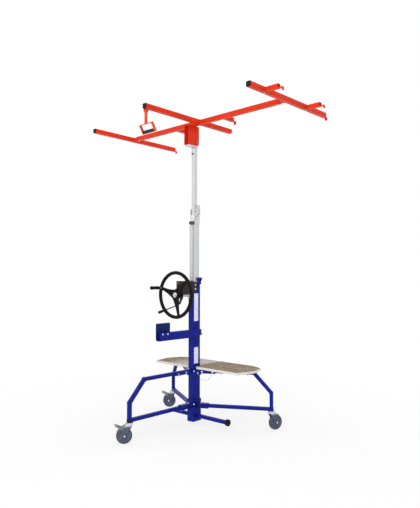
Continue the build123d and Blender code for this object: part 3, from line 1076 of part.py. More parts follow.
def catch():
    """Swinging catch under the cross arm's front end, and the roller in its fork."""
    eye = make_hull([*(Pos(CATCH_Y, CATCH_Z) * Circle(CATCH_EYE_R)).edges(),
                     *(Pos(CATCH_Y, CATCH_Z - 2 * CATCH_EYE_R) * Rectangle(CATCH_BAR, CATCH_BAR)).edges()])
    half = CATCH_WIDTH / 2
    bar = extrude(Plane.YZ.offset(CRADLE_X - half) * eye, CATCH_WIDTH)
    fork_top = CATCH_Z - CATCH_LENGTH
    bar = bar + slab((CRADLE_X - half, CRADLE_X + half), (CATCH_Y - CATCH_BAR / 2, CATCH_Y + CATCH_BAR / 2),
                     (fork_top, CATCH_Z - CATCH_EYE_R))
    bar = bar - rod("X", (CATCH_Y, CATCH_Z), CATCH_PIN_R + RUN, (CRADLE_X - half, CRADLE_X + half))
    deep = CATCH_FORK_DEPTH / 2
    fork = slab((-CATCH_FORK_HALF, CATCH_FORK_HALF), (-deep, deep), (-CATCH_FORK, 0))
    for sign in (-1, 1):
        span = sorted((sign * CATCH_FORK_HALF, sign * (CATCH_FORK_HALF - CATCH_FORK)))
        fork = fork + slab(span, (-deep, deep), (-CATCH_FORK_LENGTH, 0))
    roller_z = -CATCH_FORK_LENGTH + deep
    roller_half = CATCH_FORK_HALF - CATCH_FORK - GAP
    spindle = rod("X", (0, roller_z), CATCH_SPINDLE_R, (-CATCH_FORK_HALF, CATCH_FORK_HALF))
    roller = rod("X", (0, roller_z), CATCH_ROLLER_R, (-roller_half, roller_half))
    roller = fillet(roller.edges(), CATCH_ROLLER_R / 5)
    roller = roller - rod("X", (0, roller_z), CATCH_SPINDLE_R + RUN, (-roller_half, roller_half))
    lean = Pos(CRADLE_X, CATCH_Y, fork_top) * Rot(CATCH_FORK_LEAN, 0, 0)
    return {"catch_arm": bar + lean * (fork + spindle), "catch_roller": lean * roller}


def all_nodes():
    """Every node of the hoist about the mast axis, as lists of solids."""
    nodes = {}
    for part in (column, foot_bar, upper_hub, lower_hub, legs, frame_bolts, lock_pins, boards, caster_plates,
                 winch, handwheel, brake_lever, rest_arm, masts, cables, pulley_head, mast_head, yoke,
                 cradle, catch):
        nodes.update(part())
    for name in LEG_ANGLES:
        nodes.update(caster(name))
    return {name: shape if isinstance(shape, list) else [shape] for name, shape in nodes.items()}


def origin_shift(nodes):
    """Move that puts the origin on the floor under the middle of the whole hoist's box."""
    box = Compound([solid for shapes in nodes.values() for shape in shapes
                    for solid in shape.solids()]).bounding_box()
    return Vector(-box.center().X, -box.center().Y, -box.min.Z)


def main():
    nodes = all_nodes()
    shift = origin_shift(nodes)
    print("mast axis at", round(shift.X, 3), round(shift.Y, 3), "floor shift", round(shift.Z, 3))
    os.makedirs("parts", exist_ok=True)
    for name, shapes in nodes.items():
        solids = [Pos(*shift) * solid for shape in shapes for solid in shape.solids()]
        whole = solids[0] if len(solids) == 1 else Compound(solids)
        export_step(whole, os.path.join("parts", name + ".step"))


if __name__ == "__main__":
    main()
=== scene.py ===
import json
import math

import bmesh
import bpy
from bpy.props import FloatProperty, FloatVectorProperty, PointerProperty
from mathutils import Matrix, Vector


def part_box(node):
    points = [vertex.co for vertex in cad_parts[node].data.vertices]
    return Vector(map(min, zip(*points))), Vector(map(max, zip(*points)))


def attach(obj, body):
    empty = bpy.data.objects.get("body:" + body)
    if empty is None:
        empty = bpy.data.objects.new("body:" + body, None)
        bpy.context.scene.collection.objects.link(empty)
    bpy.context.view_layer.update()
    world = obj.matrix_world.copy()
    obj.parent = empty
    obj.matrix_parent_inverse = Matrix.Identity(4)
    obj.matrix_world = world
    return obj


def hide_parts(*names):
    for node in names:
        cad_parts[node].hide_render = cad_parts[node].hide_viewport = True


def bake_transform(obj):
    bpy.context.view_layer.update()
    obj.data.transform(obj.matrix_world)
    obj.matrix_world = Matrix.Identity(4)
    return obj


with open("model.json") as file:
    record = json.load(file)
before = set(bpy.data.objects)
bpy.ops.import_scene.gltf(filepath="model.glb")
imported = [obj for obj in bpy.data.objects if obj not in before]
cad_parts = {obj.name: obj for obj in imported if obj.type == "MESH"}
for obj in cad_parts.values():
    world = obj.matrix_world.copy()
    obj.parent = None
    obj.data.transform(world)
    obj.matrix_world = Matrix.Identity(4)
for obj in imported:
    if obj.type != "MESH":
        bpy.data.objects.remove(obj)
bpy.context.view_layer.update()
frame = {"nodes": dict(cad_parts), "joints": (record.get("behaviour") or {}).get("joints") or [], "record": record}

bl_info = {
    "name": "Panel hoist finish",
    "version": (1, 0, 0),
    "blender": (4, 5, 0),
    "location": "View3D > Sidebar > Hoist",
    "description": "Finishes the panel hoist: paint, plywood, wheels, grips, cables and welds",
    "category": "Object",
}

RECORD = frame["record"]
JOINTS = {joint["name"]: joint for joint in frame["joints"]}
NODE_SLOT = {row["node"]: row["material_slot"] for row in RECORD["subparts"]}
NODE_BODY = {node: body for body, nodes in RECORD["behaviour"]["bodies"].items() for node in nodes}

UP = Vector((0, 0, 1))
EAST = Vector((1, 0, 0))
NORTH = Vector((0, 1, 0))


def high_of(node):
    """Highest corner of a node's box."""
    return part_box(node)[1]


def middle_of(node):
    """Middle of a node's box."""
    low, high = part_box(node)
    return (low + high) / 2


def half_of(node):
    """Half the size of a node's box."""
    low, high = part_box(node)
    return (high - low) / 2


def joint_place(name):
    """Point on a joint's axis."""
    return Vector(JOINTS[name]["pos_m"])


def joint_axis(name):
    """Direction of a joint's axis."""
    return Vector(JOINTS[name]["axis"]).normalized()


# The mast's axis, the winch shaft and the cradle's main beam, read from the frame
MAST = middle_of("outer_column")
WINCH = joint_place("handwheel_turn")
BEAM_LOW, BEAM_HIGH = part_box("main_beam")
BEAM_MIDDLE = middle_of("main_beam")
BEAM_HALF = half_of("main_beam").z

# Angles past which an edge is shaded sharp or rounded off, and below which a face joins its neighbour
SHARP_ANGLE = math.radians(38)
BEVEL_ANGLE = math.radians(40)
FLAT_ANGLE = math.radians(0.5)

# Distance within which points are merged, and rounding of small pieces and of end caps
MERGE = 1e-6
FINE_ROUND = 0.0008
CAP_ROUND = 0.0025

# Leg tubes: turn of each leg about the legs' centre in degrees, corners of its bent run by reach and height
LEG_CENTRE = Vector((MAST.x, MAST.y - 0.028, 0))
LEG_TURNS = {"front": -90, "right": 30, "left": 150}
LEG_HALF = 0.015
LEG_RUN = ((0.062, 0.475), (0.548, 0.475), (0.697, 0.312), (0.697, 0.161))
LEG_LOWER_Z = 0.176
LEG_PLUG = (0.027, 0.027, 0.005)
LEG_PLUG_EDGE = 0.0012

# Clamp bolts of each hub: heights of the one over the front leg and the one on the collar's side,
# the collar's wall, and how far ahead of the mast's axis the bolts stand
HUB_BOLTS = {"upper": (LEG_RUN[0][1] + LEG_HALF, 0.474), "lower": (LEG_LOWER_Z + 0.020, 0.188)}
HUB_WALL = 0.006
TOP_BOLT_AHEAD = 0.072
SIDE_BOLT_AHEAD = 0.040

# Hexagon head, the washer under it, and the angle past which the head's edges are rounded
WASHER = ((0.0, 0.0), (0.0092, 0.0), (0.0098, 0.0004), (0.0098, 0.0014), (0.0092, 0.0018), (0.0, 0.0018))
HEX_R = 0.0082
HEX_HEIGHT = 0.0060
HEX_MIDDLE = 0.0046
HEX_EDGE = 0.0006
HEX_EDGE_ANGLE = 0.9

# Weld beads: share of the bead's radius at a ripple's crest and in its trough
WELD_CREST = 1.12
WELD_TROUGH = 0.84

# Route of the lock pin's wire in the right leg's plane: reach, side and height of each point
LANYARD_ROUTE = (
    (0.062, -0.0305, 0.456),
    (0.067, -0.031, 0.431),
    (0.086, -0.032, 0.409),
    (0.113, -0.033, 0.398),
    (0.143, -0.034, 0.401),
    (0.168, -0.033, 0.416),
    (0.182, -0.029, 0.438),
    (0.190, -0.024, 0.462),
)
LANYARD_DIAMETER = 0.002
FERRULE = ((0.0, -0.001), (0.0018, -0.001), (0.0021, 0.0), (0.0021, 0.009), (0.0017, 0.0105), (0.0, 0.0105))

# Rollers: bore, and how far each point of an end lies inside the roller's radius and its end face
FOOT_BORE = 0.0062
FOOT_END = ((0.011, 0.0), (0.009, 0.002), (0.004, 0.002), (0.001, 0.004), (0.0, 0.008))
FOOT_BAR_CAP = ((0.0, 0.0014), (0.0104, 0.0014), (0.0124, 0.0004), (0.0128, -0.0010), (0.0128, -0.0046),
                (0.0, -0.0046))
CATCH_BORE = 0.0041
CATCH_R = 0.014
CATCH_END = ((0.004, 0.0), (0.0015, 0.001), (0.0, 0.003), (0.0, 0.009), (0.0012, 0.010), (0.0012, 0.012),
             (0.0, 0.013))

# Casters: upper halves of tyre and wheel centre, the nuts on the axle, and half its length over them
HALF_TYRE = ((0.0460, 0.0160), (0.0560, 0.0160), (0.0578, 0.0155), (0.0603, 0.0136), (0.0619, 0.0104),
             (0.0625, 0.0060))
HALF_CENTRE = ((0.0052, 0.0184), (0.0105, 0.0184), (0.0120, 0.0170), (0.0150, 0.0120), (0.0170, 0.0105),
               (0.0330, 0.0095), (0.0370, 0.0110), (0.0395, 0.0150), (0.0410, 0.0156), (0.0459, 0.0156))
AXLE_NUT = ((0.0, 0.0016), (0.0060, 0.0016), (0.0072, 0.0010), (0.0076, 0.0), (0.0076, -0.0010),
            (0.0, -0.0010))
AXLE_END = 0.028

# Brake guard: radius of its bend about the axle, half its width, where the bend starts and how far it goes
GUARD_R = 0.066
GUARD_HALF = 0.0192
GUARD_START = math.radians(26)
GUARD_BEND = math.radians(54)
GUARD_STEPS = 14
GUARD_THICK = 0.0022

# Hood screws: distance from the hood's edges, height of the lower one over the shaft, and their seat
HOOD_SCREW = ((0.0, 0.0034), (0.0026, 0.0031), (0.0044, 0.0018), (0.0048, 0.0), (0.0048, -0.001),
              (0.0, -0.001))
HOOD_SCREW_INSET = 0.019
HOOD_SCREW_RISE = 0.034
HOOD_FACE_BEHIND_LEVER = 0.008

# Handwheel, seen from the operator's side: rim, hub, and spokes with their turns in degrees
RIM_R = 0.015
RIM_SIDES = 28
WHEEL_HUB = ((0.0, 0.0048), (0.0300, 0.0048), (0.0340, 0.0036), (0.0360, 0.0), (0.0360, -0.016),
             (0.0340, -0.022), (0.0310, -0.024), (0.0, -0.024))
SPOKE_TURNS = (162, 282, 42)
SPOKE_STEPS = 10
SPOKE_FLARE = 2.2
SPOKE_START = 0.018
SPOKE_WIDE = 0.042
SPOKE_NARROW = 0.013
SPOKE_THICK = 0.009
SPOKE_BORDER = 0.0055
SPOKE_SLOPE = 0.0012
SPOKE_EDGE = 0.0022
SPOKE_EDGE_ANGLE = math.radians(60)

# Crank grip: share of its length that is black, and its spindle
GRIP_BORE = 0.0066
GRIP_BLACK = 0.60
GRIP_SPINDLE = ((0.0, 0.004), (0.0062, 0.004), (0.0062, -0.006), (0.0130, -0.0065), (0.0135, -0.010),
                (0.0130, -0.02), (0.0, -0.02))

# Brake lever: ends of its rod by X from the mast's axis and height from the shaft, its radii, and the grip
LEVER_ROD = ((-0.038, -0.096), (-0.243, -0.160))
LEVER_ROD_R = (0.0040, 0.0052)
LEVER_GRIP_SEAT = 0.062
LEVER_GRIP_LENGTH = 0.078
LEVER_GRIP_BLACK = 0.050
LEVER_GRIP_BORE = 0.0041
LEVER_GRIP_NECK = ((0.0041, 0.0), (0.0088, 0.0), (0.0102, 0.0015), (0.0106, 0.006))
LEVER_GRIP_END_R = 0.0126

# Ribs of that grip: count, start and run along it, the first one's crest, and the outline of one rib
LEVER_RIBS = 6
LEVER_RIB_START = 0.008
LEVER_RIB_RUN = 0.040
LEVER_RIB_R = 0.0110
LEVER_RIB = ((-0.0010, 0.0), (-0.0010, 0.0020), (0.0, 0.0032), (0.0, 0.0050))

# Rest arm's clamp knob: its place beside the mast's axis, its height and the ring on it
CLAMP_KNOB_X = 0.026
CLAMP_KNOB_Z = 0.788
CLAMP_RING = ((0.0096, 0.0010), (0.0104, 0.0016), (0.0104, 0.0100), (0.0096, 0.0106))

# Blank labels on the column's side: where each starts and ends, along Y from the mast's axis and in height
LABELS = {"upper": ((-0.033, 0.018), (0.908, 1.151)), "lower": ((-0.033, 0.019), (0.537, 0.678))}

# Bolt across the mast head's spigot: its depth under the inner mast's top, and the caps over its ends
SPIGOT_BOLT_DROP = 0.044
SPIGOT_CAP = ((0.0, 0.0), (0.0094, 0.0), (0.0098, 0.0008), (0.0098, 0.0066), (0.0084, 0.0094),
              (0.0060, 0.0104), (0.0, 0.0106))

# Pulley head's cheeks: slanted slot and rivet by Y and height from the middle mast's top, and how far
# the slot's dark liner, which is painted shadow in the slot, and the rivet stand off that mast
CHEEK_SLOT = ((0.033, 0.020), (-0.019, -0.033))
CHEEK_SLOT_R = 0.0025
CHEEK_SLOT_DEPTHS = (0.0002, 0.0022)
CHEEK_RIVET = (-0.014, 0.031)
CHEEK_RIVET_OUT = 0.0065
RIVET_HEAD = ((0.0, 0.0008), (0.0026, 0.0007), (0.0042, 0.0002), (0.0045, -0.0006), (0.0045, -0.0024),
              (0.0, -0.0024))

# Cables: their radii, strands, the spacing of points along a strand, and the end collar
MAST_CABLE_R = 0.002
LIFT_CABLE_R = 0.0015
STRANDS = 6
STRAND_STEP = 0.003
CABLE_TURN_STEPS = 40
CABLE_COLLAR = ((0.0, 0.0), (0.0115, 0.0), (0.0120, 0.0006), (0.0120, 0.0026), (0.0092, 0.0030),
                (0.0092, 0.0070), (0.0078, 0.0084), (0.0, 0.0086))

# Cradle: the yoke's welds outside the beam, the sliders inside it, and the screws
YOKE_WELD_OUT = 0.001
SLIDER_INSET = 0.0035
CRADLE_SCREW = ((0.0, 0.0050), (0.0030, 0.0048), (0.0060, 0.0036), (0.0072, 0.0012), (0.0072, 0.0),
                (0.0090, 0.0), (0.0090, -0.0012), (0.0, -0.0012))
BEAM_SCREW_INSET = 0.022
HOOK_SCREW_Y = (-0.304, 0.258)

# Finishes: wear and dust colours, and the widths, heights and spans that some of them change over
SCUFF_GREY = (0.40, 0.39, 0.38, 1)
BARE_EDGE = (0.17, 0.15, 0.14, 1)
FLOOR_DUST = (0.36, 0.35, 0.33, 1)
PLASTER_DUST = (0.78, 0.77, 0.775, 1)
# Width of the darker reflection painted along the middle mast's corners
MAST_CORNER_REFLECTION = 0.012
FORK_BRIGHT_Z = 0.136
FORK_FADE = 0.010
DUST_SPAN = (0.26, 0.62)
PLY_PHASE_PER_METRE = 1745.0

# Stage: floor with its glow by distance, light of the room by height, lamps and camera;
# each lamp has its name, place, width and power, and whether gloss shows it
FLOOR_R = 40.0
FLOOR_GREYS = ((0.86, 0.86, 0.86, 1), (0.89, 0.89, 0.89, 1))
FLOOR_GLOW = {"low": 0.9, "high": 3.0, "start": 0.74, "end": 1.0}
ROOM_LIGHT = {"low": -0.2, "high": 0.9, "start": 0.22, "end": 0.65}
LAMPS = (
    ("Key", (3.2, -5.0, 4.6), 6.0, 265.0, True),
    ("Fill", (-5.0, -3.0, 3.0), 5.0, 110.0, False),
    ("Back", (1.5, 5.0, 4.0), 5.0, 110.0, False),
    ("Low", (2.5, -2.5, 0.4), 2.5, 24.0, False),
)
LAMP_AIM = Vector((MAST.x, MAST.y, 1.4))
CAMERA_PLACE = Vector((MAST.x, MAST.y, 0)) + Vector((3.3468, -3.4333, 1.3034))
CAMERA_TURN = math.radians(132.6)
CAMERA_TILT = math.radians(2.35)
SENSOR_WIDTH = 36.0

# What all colour settings share
COLOUR = {"subtype": "COLOR", "size": 3, "min": 0, "max": 1}


class HoistColours(bpy.types.PropertyGroup):
    """Colours of the hoist's finishes."""

    frame_blue: FloatVectorProperty(
        name="Frame blue", description="Powder coat of column, legs and rest arm",
        default=(0.003, 0.010, 0.215), **COLOUR)
    plate_blue: FloatVectorProperty(
        name="Plate blue", description="Paint of the rest arm's upright plate",
        default=(0.001, 0.014, 0.105), **COLOUR)
    cradle_orange: FloatVectorProperty(
        name="Cradle orange", description="Powder coat of the cradle",
        default=(0.68, 0.030, 0.006), **COLOUR)
    catch_orange: FloatVectorProperty(
        name="Catch orange", description="Lighter powder coat of the catch",
        default=(0.68, 0.095, 0.032), **COLOUR)
    mast_silver: FloatVectorProperty(
        name="Mast silver", description="Anodised aluminium of the masts",
        default=(0.60, 0.605, 0.61), **COLOUR)
    # Painted reflection: darker grey painted along the middle mast's corners
    corner_reflection_grey: FloatVectorProperty(
        name="Corner grey", description="Dull drawn corners of the middle mast",
        default=(0.26, 0.28, 0.34), **COLOUR)
    zinc: FloatVectorProperty(
        name="Zinc", description="Zinc plate of fasteners, caster plates and forks",
        default=(0.62, 0.63, 0.66), **COLOUR)
    dark_steel: FloatVectorProperty(
        name="Dark steel", description="Dull steel of the brake rod, pedals and bolt caps",
        default=(0.105, 0.107, 0.113), **COLOUR)
    # Also the darker grey of the forks below their bright zinc band
    wheel_grey: FloatVectorProperty(
        name="Wheel grey", description="Grey of the casters' tyres, centres and dusty forks",
        default=(0.062, 0.068, 0.105), **COLOUR)
    black: FloatVectorProperty(
        name="Black", description="Black of handwheel, grips, caps and lanyard",
        default=(0.0075, 0.0065, 0.0063), **COLOUR)
    hood_black: FloatVectorProperty(
        name="Hood black", description="Brownish black paint of the winch hood",
        default=(0.027, 0.020, 0.0185), **COLOUR)
    grip_red: FloatVectorProperty(
        name="Grip red", description="Red-brown ends of the grips",
        default=(0.028, 0.006, 0.004), **COLOUR)
    clip_grey: FloatVectorProperty(
        name="Clip grey", description="Dark plastic of the mast clip and rivets",
        default=(0.055, 0.053, 0.050), **COLOUR)
    guide_white: FloatVectorProperty(
        name="Guide white", description="Plastic of the masts' sliding guides",
        default=(0.62, 0.615, 0.60), **COLOUR)
    plywood_pale: FloatVectorProperty(
        name="Pale plywood", description="Pale grain of the boards",
        default=(0.49, 0.41, 0.31), **COLOUR)
    plywood_brown: FloatVectorProperty(
        name="Brown plywood", description="Brown grain of the boards",
        default=(0.21, 0.135, 0.065), **COLOUR)
    plywood_edge: FloatVectorProperty(
        name="Plywood edge", description="Pale cut plies of the boards",
        default=(0.66, 0.62, 0.585), **COLOUR)
    label: FloatVectorProperty(
        name="Label", description="Blank vinyl strips on the column",
        default=(0.74, 0.76, 0.93), **COLOUR)


class HoistSizes(bpy.types.PropertyGroup):
    """Sizes of the hoist's finishing pieces."""

    edge_round: FloatProperty(
        name="Edge round", description="Rounding of cut plate edges", unit="LENGTH", default=0.0012)
    weld_radius: FloatProperty(
        name="Weld radius", description="Radius of the weld beads", unit="LENGTH", default=0.0026)
    weld_ripple: FloatProperty(
        name="Weld ripple", description="Spacing of the ripples along a weld", unit="LENGTH", default=0.0030)
    label_thickness: FloatProperty(
        name="Label thickness", description="Thickness of the vinyl strips", unit="LENGTH", default=0.0006)
    label_corner: FloatProperty(
        name="Label corner", description="Corner radius of the vinyl strips", unit="LENGTH", default=0.004)
    spoke_depth: FloatProperty(
        name="Spoke recess", description="Depth of the recess in each spoke", unit="LENGTH", default=0.0014)
    cable_lay: FloatProperty(
        name="Cable lay", description="Length of one turn of the strands", unit="LENGTH", default=0.026)
    camera_lens: FloatProperty(
        name="Lens", description="Focal length of the camera", unit="CAMERA", default=38.15)


def colours():
    """The scene's colour settings."""
    return bpy.context.scene.hoist_colours


def sizes():
    """The scene's size settings."""
    return bpy.context.scene.hoist_sizes


def shade(colour, share=1.0):
    """A colour made lighter or darker, as four channels."""
    return (*[min(1.0, channel * share) for channel in colour], 1.0)


class NodeTree:
    """Short ways to add nodes to a tree."""

    def __init__(self, tree):
        self.tree = tree

    def node(self, kind, inputs=None, **settings):
        """Add a node; an input given as a socket is linked, and any other is set."""
        made = self.tree.nodes.new("ShaderNode" + kind)
        for key, value in settings.items():
            setattr(made, key, value)
        for key, value in (inputs or {}).items():
            if isinstance(value, bpy.types.NodeSocket):
                self.tree.links.new(value, made.inputs[key])
            else:
                made.inputs[key].default_value = value
        return made

    def maths(self, operation, *values):
        """A number worked out from others."""
        return self.node("Math", dict(enumerate(values)), operation=operation).outputs["Value"]

    def times(self, first, second):
        """Product of two numbers."""
        return self.maths("MULTIPLY", first, second)

    def vector(self, operation, *values, output="Vector"):
        """A vector, or the number at another output, worked out from vectors."""
        return self.node("VectorMath", dict(enumerate(values)), operation=operation).outputs[output]

    def part(self, vector, axis):
        """One axis of a vector."""
        return self.node("SeparateXYZ", {0: vector}).outputs[axis]

    def span(self, value, low, high, start=0.0, end=1.0):
        """A value taken from one range to another."""
        ranged = self.node("MapRange", {
            "Value": value, "From Min": low, "From Max": high, "To Min": start, "To Max": end})
        return ranged.outputs["Result"]

    def seen(self):
        """High for what the camera sees, straight, in gloss or through glass, and low for light."""
        path = self.node("LightPath").outputs
        shown = self.maths("MAXIMUM", path["Is Camera Ray"], path["Is Glossy Ray"])
        return self.maths("MAXIMUM", shown, path["Is Transmission Ray"])


class Finish(NodeTree):
    """Node tree of one finish, on its piece's own coordinates."""

    def __init__(self, name, roughness, metallic=0.0, sheen=0.5):
        self.material = bpy.data.materials.new(name)
        self.material.use_nodes = True
        super().__init__(self.material.node_tree)
        self.shader = self.tree.nodes["Principled BSDF"]
        self.shader.inputs["Roughness"].default_value = roughness
        self.shader.inputs["Metallic"].default_value = metallic
        self.shader.inputs["Specular IOR Level"].default_value = sheen
        self.place = self.node("TexCoord").outputs["Object"]

    def noise(self, scale, detail=3.0, stretch=(1, 1, 1), distortion=0.0):
        """Cloudy pattern, drawn out or squeezed along the axes."""
        placed = self.node("Mapping", {"Vector": self.place, "Scale": stretch})
        cloud = self.node("TexNoise", {
            "Vector": placed.outputs["Vector"], "Scale": scale, "Detail": detail, "Distortion": distortion})
        return cloud.outputs["Fac"]

    def mix(self, share, first, second):
        """A colour between two others, by the node's colour sockets."""
        return self.node("Mix", {0: share, 6: first, 7: second}, data_type="RGBA").outputs[2]

    def mottle(self, colour, first, second, scale, low=0.35, high=0.65, detail=3.0):
        """A colour that drifts between two shades of itself."""
        drift = self.span(self.noise(scale, detail), low, high)
        return self.mix(drift, shade(colour, first), shade(colour, second))

    def rubbed(self, radius, scale, low, share):
        """Mask of patches along the edges, where paint wears thin."""
        rounded = self.node("Bevel", {"Radius": radius}, samples=4).outputs["Normal"]
        flat = self.node("NewGeometry").outputs["Normal"]
        edges = self.span(self.vector("DOT_PRODUCT", rounded, flat, output="Value"), 0.97, 0.75)
        return self.times(edges, self.span(self.noise(scale), low, 0.62, end=share))

    def corners(self, half, width, share):
        """Mask that is high along the upright corners of a tube of that half size on the mast's axis, where a
        darker reflection is painted.
        """
        folded = self.vector("ABSOLUTE", self.vector("SUBTRACT", self.place, MAST))
        inset = self.vector("SUBTRACT", half, folded)
        away = self.maths("ADD", self.part(inset, "X"), self.part(inset, "Y"))
        return self.span(away, width, 0.4 * width, end=share)

    def colour(self, socket):
        """Use a pattern as the base colour."""
        self.tree.links.new(socket, self.shader.inputs["Base Color"])

    def roughness(self, pattern, smooth, rough):
        """Vary the roughness between two levels by a pattern."""
        self.tree.links.new(self.span(pattern, 0.3, 0.7, smooth, rough), self.shader.inputs["Roughness"])

    def bump(self, height, strength, distance):
        """Give the surface a pattern's relief."""
        relief = self.node("Bump", {"Height": height, "Strength": strength, "Distance": distance})
        self.tree.links.new(relief.outputs["Normal"], self.shader.inputs["Normal"])


def powder_coat(name, colour):
    """Powder coat with orange peel, a little fading and paint rubbed thin on its edges."""
    finish = Finish(name, roughness=0.36, sheen=0.12)
    faded = finish.mottle(colour, 0.90, 1.10, 5.0)
    rubbed = finish.rubbed(radius=0.0016, scale=120.0, low=0.42, share=0.45)
    worn = finish.mix(rubbed, faded, shade(colour, 1.9))
    scuff = finish.span(finish.noise(55.0, detail=5.0), 0.60, 0.74, end=0.07)
    finish.colour(finish.mix(scuff, worn, SCUFF_GREY))
    finish.roughness(finish.noise(32.0), smooth=0.30, rough=0.46)
    finish.bump(finish.noise(520.0, detail=2.0), strength=0.10, distance=0.0004)
    return finish.material


def anodised(name, colour, tube=None):
    """Satin aluminium with drawing lines up it, and a darker reflection painted along its corners when it is a
    tube of that node.
    """
    finish = Finish(name, roughness=0.40, metallic=0.55)
    lines = finish.noise(60.0, detail=4.0, stretch=(12, 12, 0.12))
    silver = finish.mix(lines, shade(colour, 0.92), shade(colour, 1.06))
    if tube:
        # Painted reflection: the corners are mixed towards a darker grey
        dull = finish.corners(half_of(tube), MAST_CORNER_REFLECTION, share=0.8)
        silver = finish.mix(dull, silver, shade(colours().corner_reflection_grey))
    finish.colour(silver)
    finish.roughness(finish.noise(40.0, stretch=(10, 10, 0.2)), smooth=0.30, rough=0.48)
    finish.bump(finish.noise(240.0, detail=2.0, stretch=(8, 8, 0.05)), strength=0.05, distance=0.0003)
    return finish.material


def zinc_plate(name, colour):
    """Zinc plated steel with mottled spangle."""
    finish = Finish(name, roughness=0.38, metallic=0.85)
    cells = finish.node("TexVoronoi", {"Vector": finish.place, "Scale": 260.0}).outputs["Distance"]
    spangle = finish.span(cells, 0.1, 0.7, end=0.25)
    pale = (*[0.5 * channel + 0.35 for channel in colour], 1.0)
    finish.colour(finish.mix(spangle, finish.mottle(colour, 0.82, 1.15, 28.0), pale))
    finish.roughness(finish.noise(90.0), smooth=0.28, rough=0.50)
    finish.bump(finish.noise(700.0, detail=2.0), strength=0.08, distance=0.0003)
    return finish.material


def fork_steel(name, dull):
    """Plated steel, bright zinc near the swivel and a darker grey below."""
    finish = Finish(name, roughness=0.45, metallic=0.3, sheen=0.2)
    height = finish.part(finish.place, "Z")
    clean = finish.span(height, FORK_BRIGHT_Z - FORK_FADE, FORK_BRIGHT_Z + FORK_FADE)
    # Darker grey of the fork below the bright band
    dusty = finish.mottle(dull, 0.8, 1.25, 40.0)
    bright = finish.mottle(colours().zinc, 0.9, 1.15, 30.0)
    finish.colour(finish.mix(clean, dusty, bright))
    finish.roughness(finish.noise(90.0), smooth=0.36, rough=0.56)
    finish.bump(finish.noise(600.0, detail=2.0), strength=0.10, distance=0.0003)
    return finish.material


def wire_steel(name, colour):
    """Drawn steel with dull oily patches."""
    finish = Finish(name, roughness=0.42, metallic=0.7)
    finish.colour(finish.mottle(colour, 0.55, 1.0, 70.0, low=0.4))
    finish.roughness(finish.noise(160.0), smooth=0.32, rough=0.55)
    return finish.material


def satin_black(name, colour):
    """Satin black paint on steel, worn brownish grey on its edges."""
    finish = Finish(name, roughness=0.42, sheen=0.18)
    rubbed = finish.rubbed(radius=0.0014, scale=130.0, low=0.40, share=0.6)
    finish.colour(finish.mix(rubbed, finish.mottle(colour, 0.8, 1.2, 14.0), BARE_EDGE))
    finish.roughness(finish.noise(60.0), smooth=0.34, rough=0.52)
    finish.bump(finish.noise(900.0, detail=2.0), strength=0.16, distance=0.0004)
    return finish.material


def moulded(name, colour, roughness, grain, sheen=0.16):
    """Moulded plastic or rubber with a fine grain and handling marks."""
    finish = Finish(name, roughness, sheen=sheen)
    finish.colour(finish.mottle(colour, 0.85, 1.4, 18.0, high=0.7))
    finish.roughness(finish.noise(45.0), smooth=roughness - 0.09, rough=roughness + 0.1)
    finish.bump(finish.noise(grain), strength=0.22, distance=0.0004)
    return finish.material


def tyre_rubber(name, colour):
    """Grey non-marking rubber with scuffs and floor dust."""
    finish = Finish(name, roughness=0.6, sheen=0.2)
    dust = finish.span(finish.noise(75.0, detail=6.0), 0.54, 0.72, end=0.22)
    finish.colour(finish.mix(dust, finish.mottle(colour, 0.85, 1.25, 35.0, high=0.7), FLOOR_DUST))
    finish.roughness(finish.noise(60.0), smooth=0.50, rough=0.72)
    finish.bump(finish.noise(420.0, detail=4.0), strength=0.25, distance=0.0006)
    return finish.material


def plywood(name, pale, dusty=None):
    """Bare plywood: grain and stains on faces, plies on cut edges, dust on a dusty node's near end."""
    brown = colours().plywood_brown
    edge = colours().plywood_edge
    finish = Finish(name, roughness=0.7, sheen=0.2)
    grain = finish.noise(22.0, detail=8.0, stretch=(1.4, 16, 16), distortion=0.6)
    figure = finish.noise(5.0, detail=4.0, stretch=(1.2, 5, 5), distortion=1.2)
    wood = finish.mix(finish.span(grain, 0.32, 0.68), shade(brown, 0.85), shade(pale, 0.80))
    wood = finish.mix(finish.span(figure, 0.42, 0.66, end=0.7), wood, shade(brown, 0.62))
    if dusty:
        low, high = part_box(dusty)
        start, full = [low.x + share * (high.x - low.x) for share in DUST_SPAN]
        near = finish.span(finish.part(finish.place, "X"), start, full)
        speckle = finish.span(finish.noise(45.0, detail=5.0), 0.38, 0.62, 0.15, 0.85)
        powder = finish.times(near, speckle)
    else:
        powder = finish.span(finish.noise(9.0, detail=6.0), 0.60, 0.90, end=0.6)
    wood = finish.mix(powder, wood, PLASTER_DUST)
    upright = finish.maths("ABSOLUTE", finish.part(finish.node("NewGeometry").outputs["Normal"], "Z"))
    plies = finish.maths("SINE", finish.times(finish.part(finish.place, "Z"), PLY_PHASE_PER_METRE))
    cut = finish.mix(finish.span(plies, -0.2, 0.2), shade(edge, 0.88), shade(edge, 1.28))
    knots = finish.span(finish.noise(160.0, stretch=(1, 1, 6)), 0.58, 0.78)
    cut = finish.mix(knots, cut, shade(brown, 1.4))
    finish.colour(finish.mix(finish.span(upright, 0.35, 0.75), cut, wood))
    finish.roughness(grain, smooth=0.58, rough=0.8)
    finish.bump(grain, strength=0.25, distance=0.0008)
    return finish.material


def vinyl(name, colour):
    """Blank vinyl strip with faint yellowing and rubbed marks."""
    finish = Finish(name, roughness=0.35)
    finish.colour(finish.mottle(colour, 1.0, 0.84, 26.0, low=0.5, high=0.75, detail=5.0))
    finish.roughness(finish.noise(60.0), smooth=0.28, rough=0.45)
    finish.bump(finish.noise(210.0), strength=0.05, distance=0.0003)
    return finish.material


